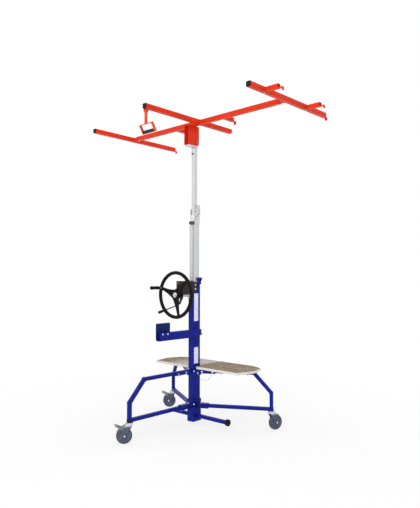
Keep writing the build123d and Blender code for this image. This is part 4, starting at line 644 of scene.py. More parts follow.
# Each finish: its maker, its colour, how much lighter or darker than that it is, and its other settings
FINISHES = {
    "blue_paint": (powder_coat, "frame_blue", 1.0, {}),
    "dark_blue_paint": (powder_coat, "plate_blue", 1.0, {}),
    "orange_paint": (powder_coat, "cradle_orange", 1.0, {}),
    "catch_paint": (powder_coat, "catch_orange", 1.0, {}),
    "mast_aluminium": (anodised, "mast_silver", 1.0, {}),
    # This finish carries the reflection painted along the middle mast's corners
    "mast_tube_with_reflection": (anodised, "mast_silver", 1.0, {"tube": "middle_mast"}),
    "zinc_steel": (zinc_plate, "zinc", 1.0, {}),
    "pedal_steel": (zinc_plate, "dark_steel", 1.8, {}),
    "fork_steel": (fork_steel, "wheel_grey", 1.3, {}),
    "dark_steel": (wire_steel, "dark_steel", 1.0, {}),
    "cable_steel": (wire_steel, "zinc", 0.8, {}),
    "black_paint": (satin_black, "hood_black", 1.0, {}),
    "black_plastic": (moulded, "black", 1.0, {"roughness": 0.48, "grain": 600.0}),
    "wheel_plastic": (moulded, "black", 0.8, {"roughness": 0.5, "grain": 750.0, "sheen": 0.07}),
    "clip_plastic": (moulded, "clip_grey", 1.0, {"roughness": 0.5, "grain": 500.0}),
    "guide_plastic": (moulded, "guide_white", 1.0, {"roughness": 0.45, "grain": 400.0}),
    "caster_rubber": (tyre_rubber, "wheel_grey", 1.0, {}),
    "wheel_centre": (moulded, "wheel_grey", 1.35, {"roughness": 0.46, "grain": 350.0}),
    "grip_red": (moulded, "grip_red", 1.0, {"roughness": 0.42, "grain": 500.0, "sheen": 0.07}),
    "plywood": (plywood, "plywood_pale", 1.0, {}),
    "dusty_plywood": (plywood, "plywood_pale", 1.0, {"dusty": "left_board"}),
    "label": (vinyl, "label", 1.0, {}),
}


def finish_for(name):
    """A finish by name, made when it is first asked for."""
    key = "hoist_" + name
    made = bpy.data.materials.get(key)
    if made:
        return made
    maker, colour, share, settings = FINISHES[name]
    return maker(key, [share * channel for channel in getattr(colours(), colour)], **settings)


def paint(*nodes, finish=None):
    """Give CAD nodes a finish, or that of their material slot."""
    for node in nodes:
        slots = frame["nodes"][node].data.materials
        slots.clear()
        slots.append(finish_for(finish or NODE_SLOT[node]))


def show(data, name, material):
    """Put a mesh or a curve in the scene with a material."""
    data.materials.clear()
    data.materials.append(material)
    piece = bpy.data.objects.new(name, data)
    bpy.context.scene.collection.objects.link(piece)
    return piece


def add_mesh(mesh, name, body, finish, replaces=()):
    """Put a mesh in the scene as a piece with a finish that rides on a body."""
    piece = show(mesh, name, finish_for(finish))
    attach(piece, body)
    if replaces:
        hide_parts(*replaces)
    return piece


def add_piece(bm, name, body, finish, replaces=()):
    """Turn a bmesh into a smooth piece, sharp where faces meet at a clear angle, that rides on a body."""
    for face in bm.faces:
        face.smooth = True
    for edge in bm.edges:
        edge.smooth = edge.calc_face_angle(math.pi) < SHARP_ANGLE
    mesh = bpy.data.meshes.new(name)
    bm.to_mesh(mesh)
    bm.free()
    return add_mesh(mesh, name, body, finish, replaces)


def flatten_normals(piece):
    """Shade a piece's large faces flat beside its rounded edges."""
    piece.modifiers.new("Flat faces", "WEIGHTED_NORMAL").keep_sharp = True


def facing(centre, axis):
    """Matrix that takes local Z to an axis through a point."""
    return Matrix.Translation(centre) @ Vector(axis).to_track_quat("Z", "Y").to_matrix().to_4x4()


def lathe(profile, matrix, steps, closed=False):
    """Spin a profile of (radius, height) points about local Z."""
    bm = bmesh.new()
    verts = [bm.verts.new((radius, 0, height)) for radius, height in profile]
    pairs = list(zip(verts, verts[1:]))
    if closed:
        pairs.append((verts[-1], verts[0]))
    edges = [bm.edges.new(pair) for pair in pairs]
    bmesh.ops.spin(bm, geom=verts + edges, cent=(0, 0, 0), axis=(0, 0, 1), angle=math.tau, steps=steps,
                   use_merge=True)
    bmesh.ops.remove_doubles(bm, verts=bm.verts, dist=MERGE)
    bmesh.ops.recalc_face_normals(bm, faces=bm.faces)
    bmesh.ops.transform(bm, matrix=matrix, verts=bm.verts)
    return bm


def add_turned(name, profile, place, axis, body, finish, steps, closed=False, replaces=()):
    """Piece spun from a profile about an axis through a place."""
    bm = lathe(profile, facing(place, axis), steps, closed)
    return add_piece(bm, name, body, finish, replaces)


def mirrored(half):
    """Whole outline of a turned piece from the outline of its half."""
    return [*half, *[(radius, -height) for radius, height in reversed(half)]]


def roller(bore, radius, half, end):
    """Outline of a roller from its bore, radius, half length and end."""
    return mirrored([(bore, -half), *[(radius - inset, along - half) for inset, along in end]])


def round_edges(bm, edges, width, segments=2, clamp=False):
    """Round edges off to a width."""
    bmesh.ops.bevel(bm, geom=edges, offset=width, offset_type="OFFSET", affect="EDGES", segments=segments,
                    profile=0.5, material=-1, clamp_overlap=clamp)


def box_mesh(size, centre):
    """Bmesh of a box of a size about a centre."""
    bm = bmesh.new()
    bmesh.ops.create_cube(bm, size=1.0, matrix=Matrix.Translation(centre) @ Matrix.Diagonal((*size, 1)))
    return bm


def hex_bolt(name, place, axis, body):
    """Zinc hexagon head on its washer, seated on a face."""
    bm = lathe(WASHER, Matrix.Identity(4), steps=32)
    head = bmesh.ops.create_cone(bm, cap_ends=True, segments=6, radius1=HEX_R, radius2=HEX_R,
                                 depth=HEX_HEIGHT, matrix=Matrix.Translation((0, 0, HEX_MIDDLE)))
    edges = {edge for vert in head["verts"] for edge in vert.link_edges}
    round_edges(bm, [edge for edge in edges if edge.calc_face_angle(0.0) > HEX_EDGE_ANGLE], HEX_EDGE)
    bmesh.ops.transform(bm, matrix=facing(place, axis), verts=bm.verts)
    add_piece(bm, name, body, "zinc_steel")


def soften(node, width=None, finish=None):
    """Replace a CAD node by a welded copy whose cut edges are rounded."""
    bm = bmesh.new()
    bm.from_mesh(frame["nodes"][node].data)
    bmesh.ops.remove_doubles(bm, verts=bm.verts, dist=MERGE)
    bmesh.ops.dissolve_limit(bm, angle_limit=FLAT_ANGLE, verts=bm.verts, edges=bm.edges)
    sharp = [edge for edge in bm.edges if edge.calc_face_angle(0.0) > BEVEL_ANGLE]
    round_edges(bm, sharp, width or sizes().edge_round, clamp=True)
    slot = NODE_SLOT[node]
    flatten_normals(add_piece(bm, node + "_finish", NODE_BODY[node], finish or slot, [node]))


def new_curve(name, radius, resolution):
    """Empty 3D curve with a round section."""
    curve = bpy.data.curves.new(name, "CURVE")
    curve.dimensions = "3D"
    curve.bevel_depth = radius
    curve.bevel_resolution = resolution
    curve.use_fill_caps = True
    return curve


def add_spline(curve, kind, points):
    """Add an open spline through points, or with them as its control points."""
    spline = curve.splines.new(kind)
    spline.points.add(len(points) - 1)
    for point, place in zip(spline.points, points):
        point.co = (*place, 1)
    return spline


def curve_mesh(name, curve):
    """Smooth mesh of a curve with its thickness."""
    holder = bpy.data.objects.new(name, curve)
    bpy.context.scene.collection.objects.link(holder)
    bpy.context.view_layer.update()
    shape = holder.evaluated_get(bpy.context.evaluated_depsgraph_get())
    mesh = bpy.data.meshes.new_from_object(shape)
    bpy.data.objects.remove(holder)
    bpy.data.curves.remove(curve)
    mesh.name = name
    for polygon in mesh.polygons:
        polygon.use_smooth = True
    return mesh


def weld_beads(name, runs, body, finish):
    """Rippled weld beads along runs of points; a run that ends where it starts is a closed loop."""
    curve = new_curve(name, sizes().weld_radius, resolution=2)
    for run in runs:
        closed = (run[0] - run[-1]).length < MERGE
        points = []
        for start, end in zip(run, run[1:]):
            count = max(2, round((end - start).length / sizes().weld_ripple) * 2)
            points += [start.lerp(end, index / count) for index in range(count)]
        if not closed:
            points.append(run[-1])
        spline = add_spline(curve, "POLY", points)
        for index, point in enumerate(spline.points):
            point.radius = WELD_CREST if index % 2 else WELD_TROUGH
        spline.use_cyclic_u = closed
    add_mesh(curve_mesh(name, curve), name, body, finish)


def square_loop(centre, first, second, first_half, second_half):
    """Closed run of points round a rectangle."""
    corners = []
    for across, along in ((-1, -1), (1, -1), (1, 1), (-1, 1), (-1, -1)):
        corners.append(centre + first * (across * first_half) + second * (along * second_half))
    return corners


def leg_direction(name, reach, side, height):
    """Direction in a leg's own plane, in the shared frame."""
    return Matrix.Rotation(math.radians(LEG_TURNS[name]), 4, "Z") @ Vector((reach, side, height))


def leg_point(name, reach, side, height):
    """Point in a leg's own plane, in the shared frame."""
    return leg_direction(name, reach, side, height) + LEG_CENTRE


def leg_welds(name):
    """Weld loops at a leg's two mitres and where its lower tube meets the post."""
    runs = []
    across = leg_direction(name, 0, 1, 0)
    flat = [Vector((reach, 0, height)) for reach, height in LEG_RUN]
    for before, here, after in zip(flat, flat[1:], flat[2:]):
        heading = (here - before).normalized()
        onward = (after - here).normalized()
        mitre = (heading - onward).normalized()
        half = LEG_HALF / math.cos(heading.angle(onward) / 2)
        runs.append(square_loop(leg_point(name, *here), across, leg_direction(name, *mitre), LEG_HALF, half))
    foot = leg_point(name, LEG_RUN[-1][0] - LEG_HALF, 0, LEG_LOWER_Z)
    runs.append(square_loop(foot, across, UP, LEG_HALF, LEG_HALF))
    return runs


class HOIST_OT_lanyard(bpy.types.Operator):
    """Hang the right lock pin's wire lanyard"""

    bl_idname = "hoist.lanyard"
    bl_label = "Pin lanyard"

    def execute(self, context):
        curve = new_curve("lanyard_wire", LANYARD_DIAMETER / 2, resolution=4)
        route = [leg_point("right", *point) for point in LANYARD_ROUTE]
        spline = add_spline(curve, "NURBS", route)
        spline.order_u = 3
        spline.use_endpoint_u = True
        spline.resolution_u = 12
        wire = show(curve, "lanyard_wire", finish_for("black_plastic"))
        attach(wire, "frame")
        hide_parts("pin_lanyard")
        for index, (end, toward) in enumerate(((route[0], route[1]), (route[-1], route[-2]))):
            crimp = add_turned(f"lanyard_crimp_{index}", FERRULE, end, toward - end, "frame", "zinc_steel",
                               steps=20)
        return {"FINISHED"}


class HOIST_OT_frame(bpy.types.Operator):
    """Paint the column, hubs and legs, weld the leg tubes, plug them and bolt the hubs"""

    bl_idname = "hoist.frame"
    bl_label = "Frame"

    def execute(self, context):
        paint("outer_column", "leg_front", "leg_right", "leg_left", "frame_bolts", "lock_pins",
              "column_guide")
        for node in ("column_foot", "upper_hub", "lower_hub", "cable_anchor"):
            soften(node)
        for name in LEG_TURNS:
            weld_beads("leg_welds_" + name, leg_welds(name), "frame", "blue_paint")
            self.plug(name)
        side = high_of("outer_column").x + HUB_WALL
        for name, (top, level) in HUB_BOLTS.items():
            over_leg = Vector((MAST.x, MAST.y - TOP_BOLT_AHEAD, top))
            hex_bolt(f"hub_bolt_{name}_top", over_leg, UP, "frame")
            on_collar = Vector((side, MAST.y - SIDE_BOLT_AHEAD, level))
            hex_bolt(f"hub_bolt_{name}_side", on_collar, EAST, "frame")
        return {"FINISHED"}

    def plug(self, name):
        """Black plug in the outer end of a leg's lower tube."""
        seat = leg_point(name, LEG_RUN[-1][0] + LEG_HALF, 0, LEG_LOWER_Z)
        bm = box_mesh(LEG_PLUG, (0, 0, 0))
        round_edges(bm, bm.edges[:], LEG_PLUG_EDGE)
        bmesh.ops.transform(bm, matrix=facing(seat, leg_direction(name, 1, 0, 0)), verts=bm.verts)
        add_piece(bm, "leg_plug_" + name, "frame", "black_plastic")


class HOIST_OT_foot(bpy.types.Operator):
    """Finish the carrying bar, its cap and its transport roller"""

    bl_idname = "hoist.foot"
    bl_label = "Foot bar and roller"

    def execute(self, context):
        paint("foot_bar")
        centre = middle_of("foot_roller")
        half = half_of("foot_roller")
        outline = roller(FOOT_BORE, half.z, half.x, FOOT_END)
        add_turned("foot_roller_tyre", outline, centre, EAST, "foot_roller", "black_plastic", steps=64,
                   closed=True, replaces=["foot_roller"])
        seat = Vector((high_of("foot_bar").x, centre.y, centre.z))
        add_turned("foot_bar_cap", FOOT_BAR_CAP, seat, EAST, "frame", "black_plastic", steps=40)
        return {"FINISHED"}


class HOIST_OT_platform(bpy.types.Operator):
    """Finish the two plywood boards"""

    bl_idname = "hoist.platform"
    bl_label = "Platform boards"

    def execute(self, context):
        soften("left_board", finish="dusty_plywood")
        soften("right_board", finish="plywood")
        return {"FINISHED"}


class HOIST_OT_casters(bpy.types.Operator):
    """Finish the casters: plates, forks, brake pedals, guards, tyres and wheel centres"""

    bl_idname = "hoist.casters"
    bl_label = "Casters"

    def execute(self, context):
        soften("caster_plates")
        for node in NODE_BODY:
            if node.startswith("caster_fork"):
                soften(node, FINE_ROUND, "fork_steel")
            if node.startswith("brake_pedal"):
                soften(node, FINE_ROUND, "pedal_steel")
                self.guard(node.rsplit("_", 1)[1])
        for name in LEG_TURNS:
            self.wheel(name)
        return {"FINISHED"}

    def guard(self, name):
        """Bent guard plate of a braked caster, which hugs the tyre between the fork legs."""
        wheel = joint_place("roll_" + name)
        across = joint_axis("roll_" + name) * GUARD_HALF
        ahead = wheel - joint_place("swivel_" + name)
        ahead.z = 0
        ahead.normalize()
        place = wheel + (ahead * math.cos(GUARD_START) + UP * math.sin(GUARD_START)) * GUARD_R
        bm = bmesh.new()
        ends = [bm.verts.new(place - across), bm.verts.new(place + across)]
        bmesh.ops.spin(bm, geom=[*ends, bm.edges.new(ends)], cent=wheel, axis=ahead.cross(UP),
                       angle=GUARD_BEND, steps=GUARD_STEPS, use_merge=False)
        bmesh.ops.recalc_face_normals(bm, faces=bm.faces)
        bmesh.ops.solidify(bm, geom=bm.faces[:], thickness=GUARD_THICK)
        bmesh.ops.recalc_face_normals(bm, faces=bm.faces)
        add_piece(bm, "brake_guard_" + name, "caster_" + name, "pedal_steel")

    def wheel(self, name):
        """Tyre, moulded centre and axle nuts of one caster."""
        place = joint_place("roll_" + name)
        axis = joint_axis("roll_" + name)
        body = "wheel_" + name
        add_turned("tyre_" + name, mirrored(HALF_TYRE), place, axis, body, "caster_rubber", steps=72,
                   closed=True, replaces=["caster_wheel_" + name])
        add_turned("wheel_centre_" + name, mirrored(HALF_CENTRE), place, axis, body, "wheel_centre",
                   steps=72, closed=True)
        for index, outward in enumerate((-axis, axis)):
            add_turned(f"axle_end_{name}_{index}", AXLE_NUT, place + outward * AXLE_END, outward,
                       "caster_" + name, "zinc_steel", steps=32)


class HOIST_OT_winch(bpy.types.Operator):
    """Finish the winch: hood with its screws, drum, shaft and cable sheave"""

    bl_idname = "hoist.winch"
    bl_label = "Winch"

    def execute(self, context):
        soften("winch_housing")
        paint("winch_drum", "winch_shaft", "lift_sheave")
        low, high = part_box("winch_housing")
        face = joint_place("brake_lever_lift").y + HOOD_FACE_BEHIND_LEVER
        for row, z in enumerate((high.z - HOOD_SCREW_INSET, WINCH.z + HOOD_SCREW_RISE)):
            seat = Vector((low.x + HOOD_SCREW_INSET, face, z))
            add_turned(f"hood_screw_{row}", HOOD_SCREW, seat, -NORTH, "frame", "zinc_steel", steps=24)
        return {"FINISHED"}


class HOIST_OT_handwheel(bpy.types.Operator):
    """Model the handwheel: rim, recessed spokes, hub and the spinning grip"""

    bl_idname = "hoist.handwheel"
    bl_label = "Handwheel"

    def execute(self, context):
        reach = half_of("handwheel").z - RIM_R
        turns = [math.tau * index / RIM_SIDES for index in range(RIM_SIDES)]
        ring = [(reach + RIM_R * math.cos(turn), RIM_R * math.sin(turn)) for turn in turns]
        add_turned("wheel_rim", ring, WINCH, -NORTH, "handwheel", "wheel_plastic", steps=128, closed=True,
                   replaces=["handwheel"])
        add_turned("wheel_hub", WHEEL_HUB, WINCH, -NORTH, "handwheel", "wheel_plastic", steps=64)
        for index, turn in enumerate(SPOKE_TURNS):
            self.spoke(f"wheel_spoke_{index}", turn, reach)
        self.grip()
        return {"FINISHED"}

    def spoke(self, name, turn, reach):
        """One spoke that flares into the hub, with a moulded recess on its face."""
        sides = []
        for step in range(SPOKE_STEPS + 1):
            share = step / SPOKE_STEPS
            flare = (SPOKE_WIDE - SPOKE_NARROW) * (1 - share) ** SPOKE_FLARE
            sides.append((SPOKE_START + (reach - SPOKE_START) * share, SPOKE_NARROW + flare))
        bm = bmesh.new()
        outline = [bm.verts.new((along, half, -SPOKE_THICK / 2)) for along, half in mirrored(sides)]
        grown = bmesh.ops.extrude_face_region(bm, geom=[bm.faces.new(outline)])
        front = [item for item in grown["geom"] if isinstance(item, bmesh.types.BMFace)]
        bmesh.ops.translate(bm, verts=front[0].verts, vec=(0, 0, SPOKE_THICK))
        bmesh.ops.recalc_face_normals(bm, faces=bm.faces)
        bmesh.ops.inset_region(bm, faces=front, thickness=SPOKE_BORDER, use_even_offset=True)
        bmesh.ops.inset_region(bm, faces=front, thickness=SPOKE_SLOPE, depth=-sizes().spoke_depth,
                               use_even_offset=True)
        rims = [edge for edge in bm.edges if edge.calc_face_angle(0.0) > SPOKE_EDGE_ANGLE]
        round_edges(bm, rims, SPOKE_EDGE, segments=3, clamp=True)
        # The wheel's face stands upright: its X is the frame's X, and its Y is up
        face = Matrix.Translation(WINCH) @ Matrix.Rotation(math.radians(90), 4, "X")
        bmesh.ops.transform(bm, matrix=face @ Matrix.Rotation(math.radians(turn), 4, "Z"), verts=bm.verts)
        flatten_normals(add_piece(bm, name, "handwheel", "wheel_plastic"))

    def grip(self):
        """Spinning grip: steel spindle, black sleeve and red-brown end."""
        low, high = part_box("crank_grip")
        start = joint_place("crank_grip_spin")
        start.y = high.y
        length = high.y - low.y
        split = GRIP_BLACK * length
        add_turned("grip_spindle", GRIP_SPINDLE, start, -NORTH, "handwheel", "zinc_steel", steps=40)
        sleeve = [(GRIP_BORE, 0.0), (0.0112, 0.0), (0.0125, 0.0012), (0.0138, 0.012), (0.0146, 0.028),
                  (0.0148, 0.046), (0.0142, split - 0.008), (0.0138, split), (GRIP_BORE, split)]
        add_turned("grip_sleeve", sleeve, start, -NORTH, "crank_grip", "wheel_plastic", steps=48,
                   closed=True, replaces=["crank_grip"])
        end = [(GRIP_BORE, split), (0.0138, split), (0.0148, split + 0.012), (0.0158, split + 0.026),
               (0.0160, split + 0.034), (0.0154, length - 0.006), (0.0128, length - 0.0018), (0.008, length),
               (0.0, length), (0.0, length - 0.006), (GRIP_BORE, length - 0.008)]
        add_turned("grip_end", end, start, -NORTH, "crank_grip", "grip_red", steps=48, closed=True)


class HOIST_OT_brake_lever(bpy.types.Operator):
    """Finish the brake lever: black arm, steel rod and ribbed grip"""

    bl_idname = "hoist.brake_lever"
    bl_label = "Brake lever"

    def execute(self, context):
        soften("brake_lever", FINE_ROUND)
        level = joint_place("brake_lever_lift").y
        start, end = [Vector((MAST.x + x, level, WINCH.z + z)) for x, z in LEVER_ROD]
        heading = (end - start).normalized()
        seat = end - heading * LEVER_GRIP_SEAT
        length = (end - start).length - LEVER_GRIP_SEAT
        inner, outer = LEVER_ROD_R
        rod = [(inner, 0.010 - length), (outer, 0.011 - length), (outer, 0.002), (inner, 0.002)]
        add_turned("lever_rod", rod, seat, heading, "brake_lever", "dark_steel", steps=24, closed=True)
        self.grip(seat, heading)
        return {"FINISHED"}

    def grip(self, seat, heading):
        """Ribbed black sleeve and red-brown end on the rod."""
        split = LEVER_GRIP_BLACK
        sleeve = list(LEVER_GRIP_NECK)
        for rib in range(LEVER_RIBS):
            along = LEVER_RIB_START + LEVER_RIB_RUN * rib / LEVER_RIBS
            crest = LEVER_RIB_R + (LEVER_GRIP_END_R - LEVER_RIB_R) * rib / (LEVER_RIBS - 1)
            sleeve += [(crest + out, along + step) for out, step in LEVER_RIB]
        sleeve += [(LEVER_GRIP_END_R, split), (LEVER_GRIP_BORE, split)]
        add_turned("lever_grip_sleeve", sleeve, seat, heading, "brake_lever", "black_plastic", steps=40,
                   closed=True, replaces=["lever_grip"])
        length = LEVER_GRIP_LENGTH
        knob = [(LEVER_GRIP_BORE, split), (LEVER_GRIP_END_R, split), (0.0130, split + 0.006),
                (0.0132, split + 0.016), (0.0122, length - 0.005), (0.0096, length - 0.001),
                (0.0060, length), (0.0, length), (0.0, length - 0.014), (LEVER_GRIP_BORE, length - 0.0158)]
        add_turned("lever_grip_end", knob, seat, heading, "brake_lever", "grip_red", steps=40, closed=True)


class HOIST_OT_rest_arm(bpy.types.Operator):
    """Finish the rest arm, its upright plate and its clamp"""

    bl_idname = "hoist.rest_arm"
    bl_label = "Rest arm"

    def execute(self, context):
        paint("rest_arm")
        soften("rest_plate")
        soften("rest_clamp")
        knob = Vector((MAST.x + CLAMP_KNOB_X, high_of("rest_clamp").y, CLAMP_KNOB_Z))
        add_turned("clamp_knob_ring", CLAMP_RING, knob, -NORTH, "frame", "zinc_steel", steps=40, closed=True)
        hex_bolt("clamp_stud_nut", knob, NORTH, "frame")
        return {"FINISHED"}


class HOIST_OT_labels(bpy.types.Operator):
    """Stick two blank vinyl strips on the column's side"""

    bl_idname = "hoist.labels"
    bl_label = "Blank labels"

    def execute(self, context):
        face = high_of("outer_column").x
        thick = sizes().label_thickness
        for name, (across, up) in LABELS.items():
            size = (thick, across[1] - across[0], up[1] - up[0])
            bm = box_mesh(size, (face + thick / 2, MAST.y + sum(across) / 2, sum(up) / 2))
            corners = [edge for edge in bm.edges
                       if abs(edge.verts[0].co.x - edge.verts[1].co.x) > thick / 2]
            round_edges(bm, corners, sizes().label_corner, segments=5)
            add_piece(bm, "label_" + name, "frame", "label")
        return {"FINISHED"}


class HOIST_OT_masts(bpy.types.Operator):
    """Finish the mast tubes, with a reflection painted along the middle mast's corners, the guides, the pulley
    head with dark liners painted as shadow in its slots, and the clip
    """

    bl_idname = "hoist.masts"
    bl_label = "Masts"

    def execute(self, context):
        paint("inner_mast", "middle_guides", "inner_guide", "mast_pulley")
        # The middle mast's finish has a reflection painted along its corners
        paint("middle_mast", finish="mast_tube_with_reflection")
        for node in ("pulley_head", "mast_head"):
            soften(node, FINE_ROUND)
        soften("mast_clip", FINE_ROUND, "clip_plastic")
        low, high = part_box("middle_mast")
        sides = ((-1, low.x), (1, high.x))
        # Dark liners in the cheeks' slots: painted shadow
        for index, (side, face) in enumerate(sides):
            self.slot_liner(f"slot_liner_{index}", side, face, high.z)
        self.bolt_caps()
        y, z = CHEEK_RIVET
        for index, (side, face) in enumerate(sides):
            seat = Vector((face + side * CHEEK_RIVET_OUT, MAST.y + y, high.z + z))
            add_turned(f"cheek_rivet_{index}", RIVET_HEAD, seat, EAST * side, "middle_mast", "clip_plastic",
                       steps=24)
        return {"FINISHED"}

    def slot_liner(self, name, side, face, top):
        """Dark liner pressed into the slanted slot of one of the pulley head's cheeks, as painted shadow in the
        slot.
        """
        bm = bmesh.new()
        for y, z in CHEEK_SLOT:
            for deep in CHEEK_SLOT_DEPTHS:
                place = Vector((face + side * deep, MAST.y + y, top + z))
                bmesh.ops.create_circle(bm, segments=24, radius=CHEEK_SLOT_R, matrix=facing(place, EAST))
        bmesh.ops.convex_hull(bm, input=bm.verts)
        add_piece(bm, name, "middle_mast", "black_plastic")

    def bolt_caps(self):
        """Dull plated caps over both ends of the bolt across the mast head's spigot."""
        half = half_of("inner_mast").y
        level = high_of("inner_mast").z - SPIGOT_BOLT_DROP
        for index, side in enumerate((-1, 1)):
            seat = Vector((MAST.x, MAST.y + side * half, level))
            add_turned(f"spigot_cap_{index}", SPIGOT_CAP, seat, NORTH * side, "inner_mast", "pedal_steel",
                       steps=32)


class HOIST_OT_cables(bpy.types.Operator):
    """Lay the stranded lift and mast cables along their runs"""

    bl_idname = "hoist.cables"
    bl_label = "Cables"

    def execute(self, context):
        self.mast_cable()
        self.lift_cable()
        return {"FINISHED"}

    def mast_cable(self):
        """Cable from its anchor on the column over the pulley head to the inner mast's foot."""
        pulley, turn, bottom = self.wheel_run("mast_cable", "mast_pulley_turn", MAST_CABLE_R)
        inside = pulley - turn
        outside = pulley + turn
        anchor = Vector((outside.x, outside.y, high_of("cable_anchor").z))
        foot = Vector((inside.x, inside.y, bottom))
        self.stretch("mast_cable_outer", anchor, outside, MAST_CABLE_R, "frame", "middle_mast", "mast_cable")
        self.stretch("mast_cable_inner", inside, foot, MAST_CABLE_R, "middle_mast", "inner_mast")
        add_turned("cable_end_collar", CABLE_COLLAR, anchor, UP, "frame", "zinc_steel", steps=40)
        self.half_turn("mast_cable_turn", pulley, turn.y, MAST_CABLE_R, "middle_mast")

    def lift_cable(self):
        """Cable from the drum over the sheave to the middle mast's foot."""
        sheave, turn, bottom = self.wheel_run("lift_cable", "lift_sheave_turn", LIFT_CABLE_R)
        inside = sheave + turn
        outside = sheave - turn
        foot = Vector((inside.x, inside.y, bottom))
        self.stretch("lift_cable_inside", inside, foot, LIFT_CABLE_R, "frame", "middle_mast", "lift_cable")
        drum = Vector((outside.x, outside.y, WINCH.z))
        drop = self.straight("lift_cable_drum", outside, drum, LIFT_CABLE_R)
        add_mesh(drop, "lift_cable_drum", "frame", "cable_steel")
        self.half_turn("lift_cable_turn", sheave, turn.y, LIFT_CABLE_R, "frame")

    def wheel_run(self, node, joint, radius):
        """Centre of a cable's wheel, the step from it to the cable's middle, and the height of its foot."""
        return joint_place(joint), NORTH * (half_of(node).y - radius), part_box(node)[0].z

    def strands(self, name, path, radius):
        """Strands laid round a path of (point, first side, second side, distance) rows."""
        strand = radius / 3
        curve = new_curve(name, strand, resolution=1)
        for index in range(STRANDS):
            points = []
            for middle, first, second, distance in path:
                turn = math.tau * (index / STRANDS + distance / sizes().cable_lay)
                outward = first * math.cos(turn) + second * math.sin(turn)
                points.append(middle + outward * (radius - strand))
            add_spline(curve, "POLY", points)
        return curve_mesh(name, curve)

    def straight(self, name, start, end, radius):
        """Stranded cable between two points above each other."""
        length = (end - start).length
        count = round(length / STRAND_STEP)
        shares = [step / count for step in range(count + 1)]
        path = [(start.lerp(end, share), EAST, NORTH, length * share) for share in shares]
        return self.strands(name, path, radius)

    def half_turn(self, name, centre, turn, radius, body):
        """Stranded cable over the top of a wheel on an X axis."""
        path = []
        for step in range(CABLE_TURN_STEPS + 1):
            angle = math.pi * step / CABLE_TURN_STEPS
            outward = NORTH * math.cos(angle) + UP * math.sin(angle)
            path.append((centre + outward * turn, EAST, outward, turn * angle))
        add_mesh(self.strands(name, path, radius), name, body, "cable_steel")

    def stretch(self, name, start, end, radius, first, second, *nodes):
        """Straight cable between two points, fixed in place in the scene."""
        piece = show(self.straight(name, start, end, radius), name, finish_for("cable_steel"))
        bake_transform(piece)
        if nodes:
            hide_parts(*nodes)


class HOIST_OT_cradle(bpy.types.Operator):
    """Paint the yoke and cradle tubes, weld them and fit caps and lock screws"""

    bl_idname = "hoist.cradle"
    bl_label = "Cradle"

    def execute(self, context):
        paint("main_beam", "cross_arm", "crossbar_left", "crossbar_right")
        for node in ("yoke", "beam_hooks", "crossbar_hooks_left", "crossbar_hooks_right"):
            soften(node, FINE_ROUND)
        soften("tilt_bolt", FINE_ROUND, "pedal_steel")
        for node in ("arm_cap", "crossbar_cap_left", "crossbar_cap_right"):
            soften(node, CAP_ROUND)
        self.welds()
        self.screws()
        return {"FINISHED"}

    def welds(self):
        """Weld beads between yoke, beam and cross arm, and where each crossbar meets its slider."""
        arm = Vector((middle_of("arm_cap").x, BEAM_MIDDLE.y, BEAM_MIDDLE.z))
        runs = []
        for side in (-1, 1):
            meet = arm + NORTH * (side * BEAM_HALF)
            runs.append(square_loop(meet, EAST, UP, BEAM_HALF, BEAM_HALF)[:-1])
        low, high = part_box("yoke")
        for side in (-1, 1):
            edge = BEAM_MIDDLE.y + side * (BEAM_HALF + YOKE_WELD_OUT)
            runs.append([Vector((low.x, edge, high.z)), Vector((high.x, edge, high.z))])
        weld_beads("cradle_welds", runs, "cradle", "orange_paint")
        half = BEAM_HALF - SLIDER_INSET
        for name, side in (("left", -1), ("right", 1)):
            bar = middle_of("crossbar_cap_" + name)
            meet = Vector((bar.x - side * BEAM_HALF, BEAM_MIDDLE.y, BEAM_MIDDLE.z))
            runs = [square_loop(meet, -NORTH, UP, half, half)]
            weld_beads("crossbar_welds_" + name, runs, name + "_crossbar", "orange_paint")

    def screws(self):
        """Lock screws of the crossbars under the beam, and screws that hold the hook tubes."""
        for index, x in enumerate((BEAM_LOW.x + BEAM_SCREW_INSET, BEAM_HIGH.x - BEAM_SCREW_INSET)):
            seat = Vector((x, BEAM_MIDDLE.y, BEAM_LOW.z))
            add_turned(f"beam_screw_{index}", CRADLE_SCREW, seat, -UP, "cradle", "zinc_steel", steps=32)
        bar = middle_of("crossbar_cap_right")
        for index, y in enumerate(HOOK_SCREW_Y):
            seat = Vector((bar.x, MAST.y + y, BEAM_LOW.z))
            add_turned(f"hook_screw_{index}", CRADLE_SCREW, seat, -UP, "right_crossbar", "zinc_steel",
                       steps=32)


class HOIST_OT_catch(bpy.types.Operator):
    """Finish the swinging catch and its roller"""

    bl_idname = "hoist.catch"
    bl_label = "Catch"

    def execute(self, context):
        soften("catch_arm", FINE_ROUND, "catch_paint")
        outline = roller(CATCH_BORE, CATCH_R, half_of("catch_roller").x, CATCH_END)
        add_turned("catch_roller_sleeve", outline, joint_place("catch_roller_spin"), EAST, "catch_roller",
                   "black_paint", steps=48, closed=True, replaces=["catch_roller"])
        return {"FINISHED"}


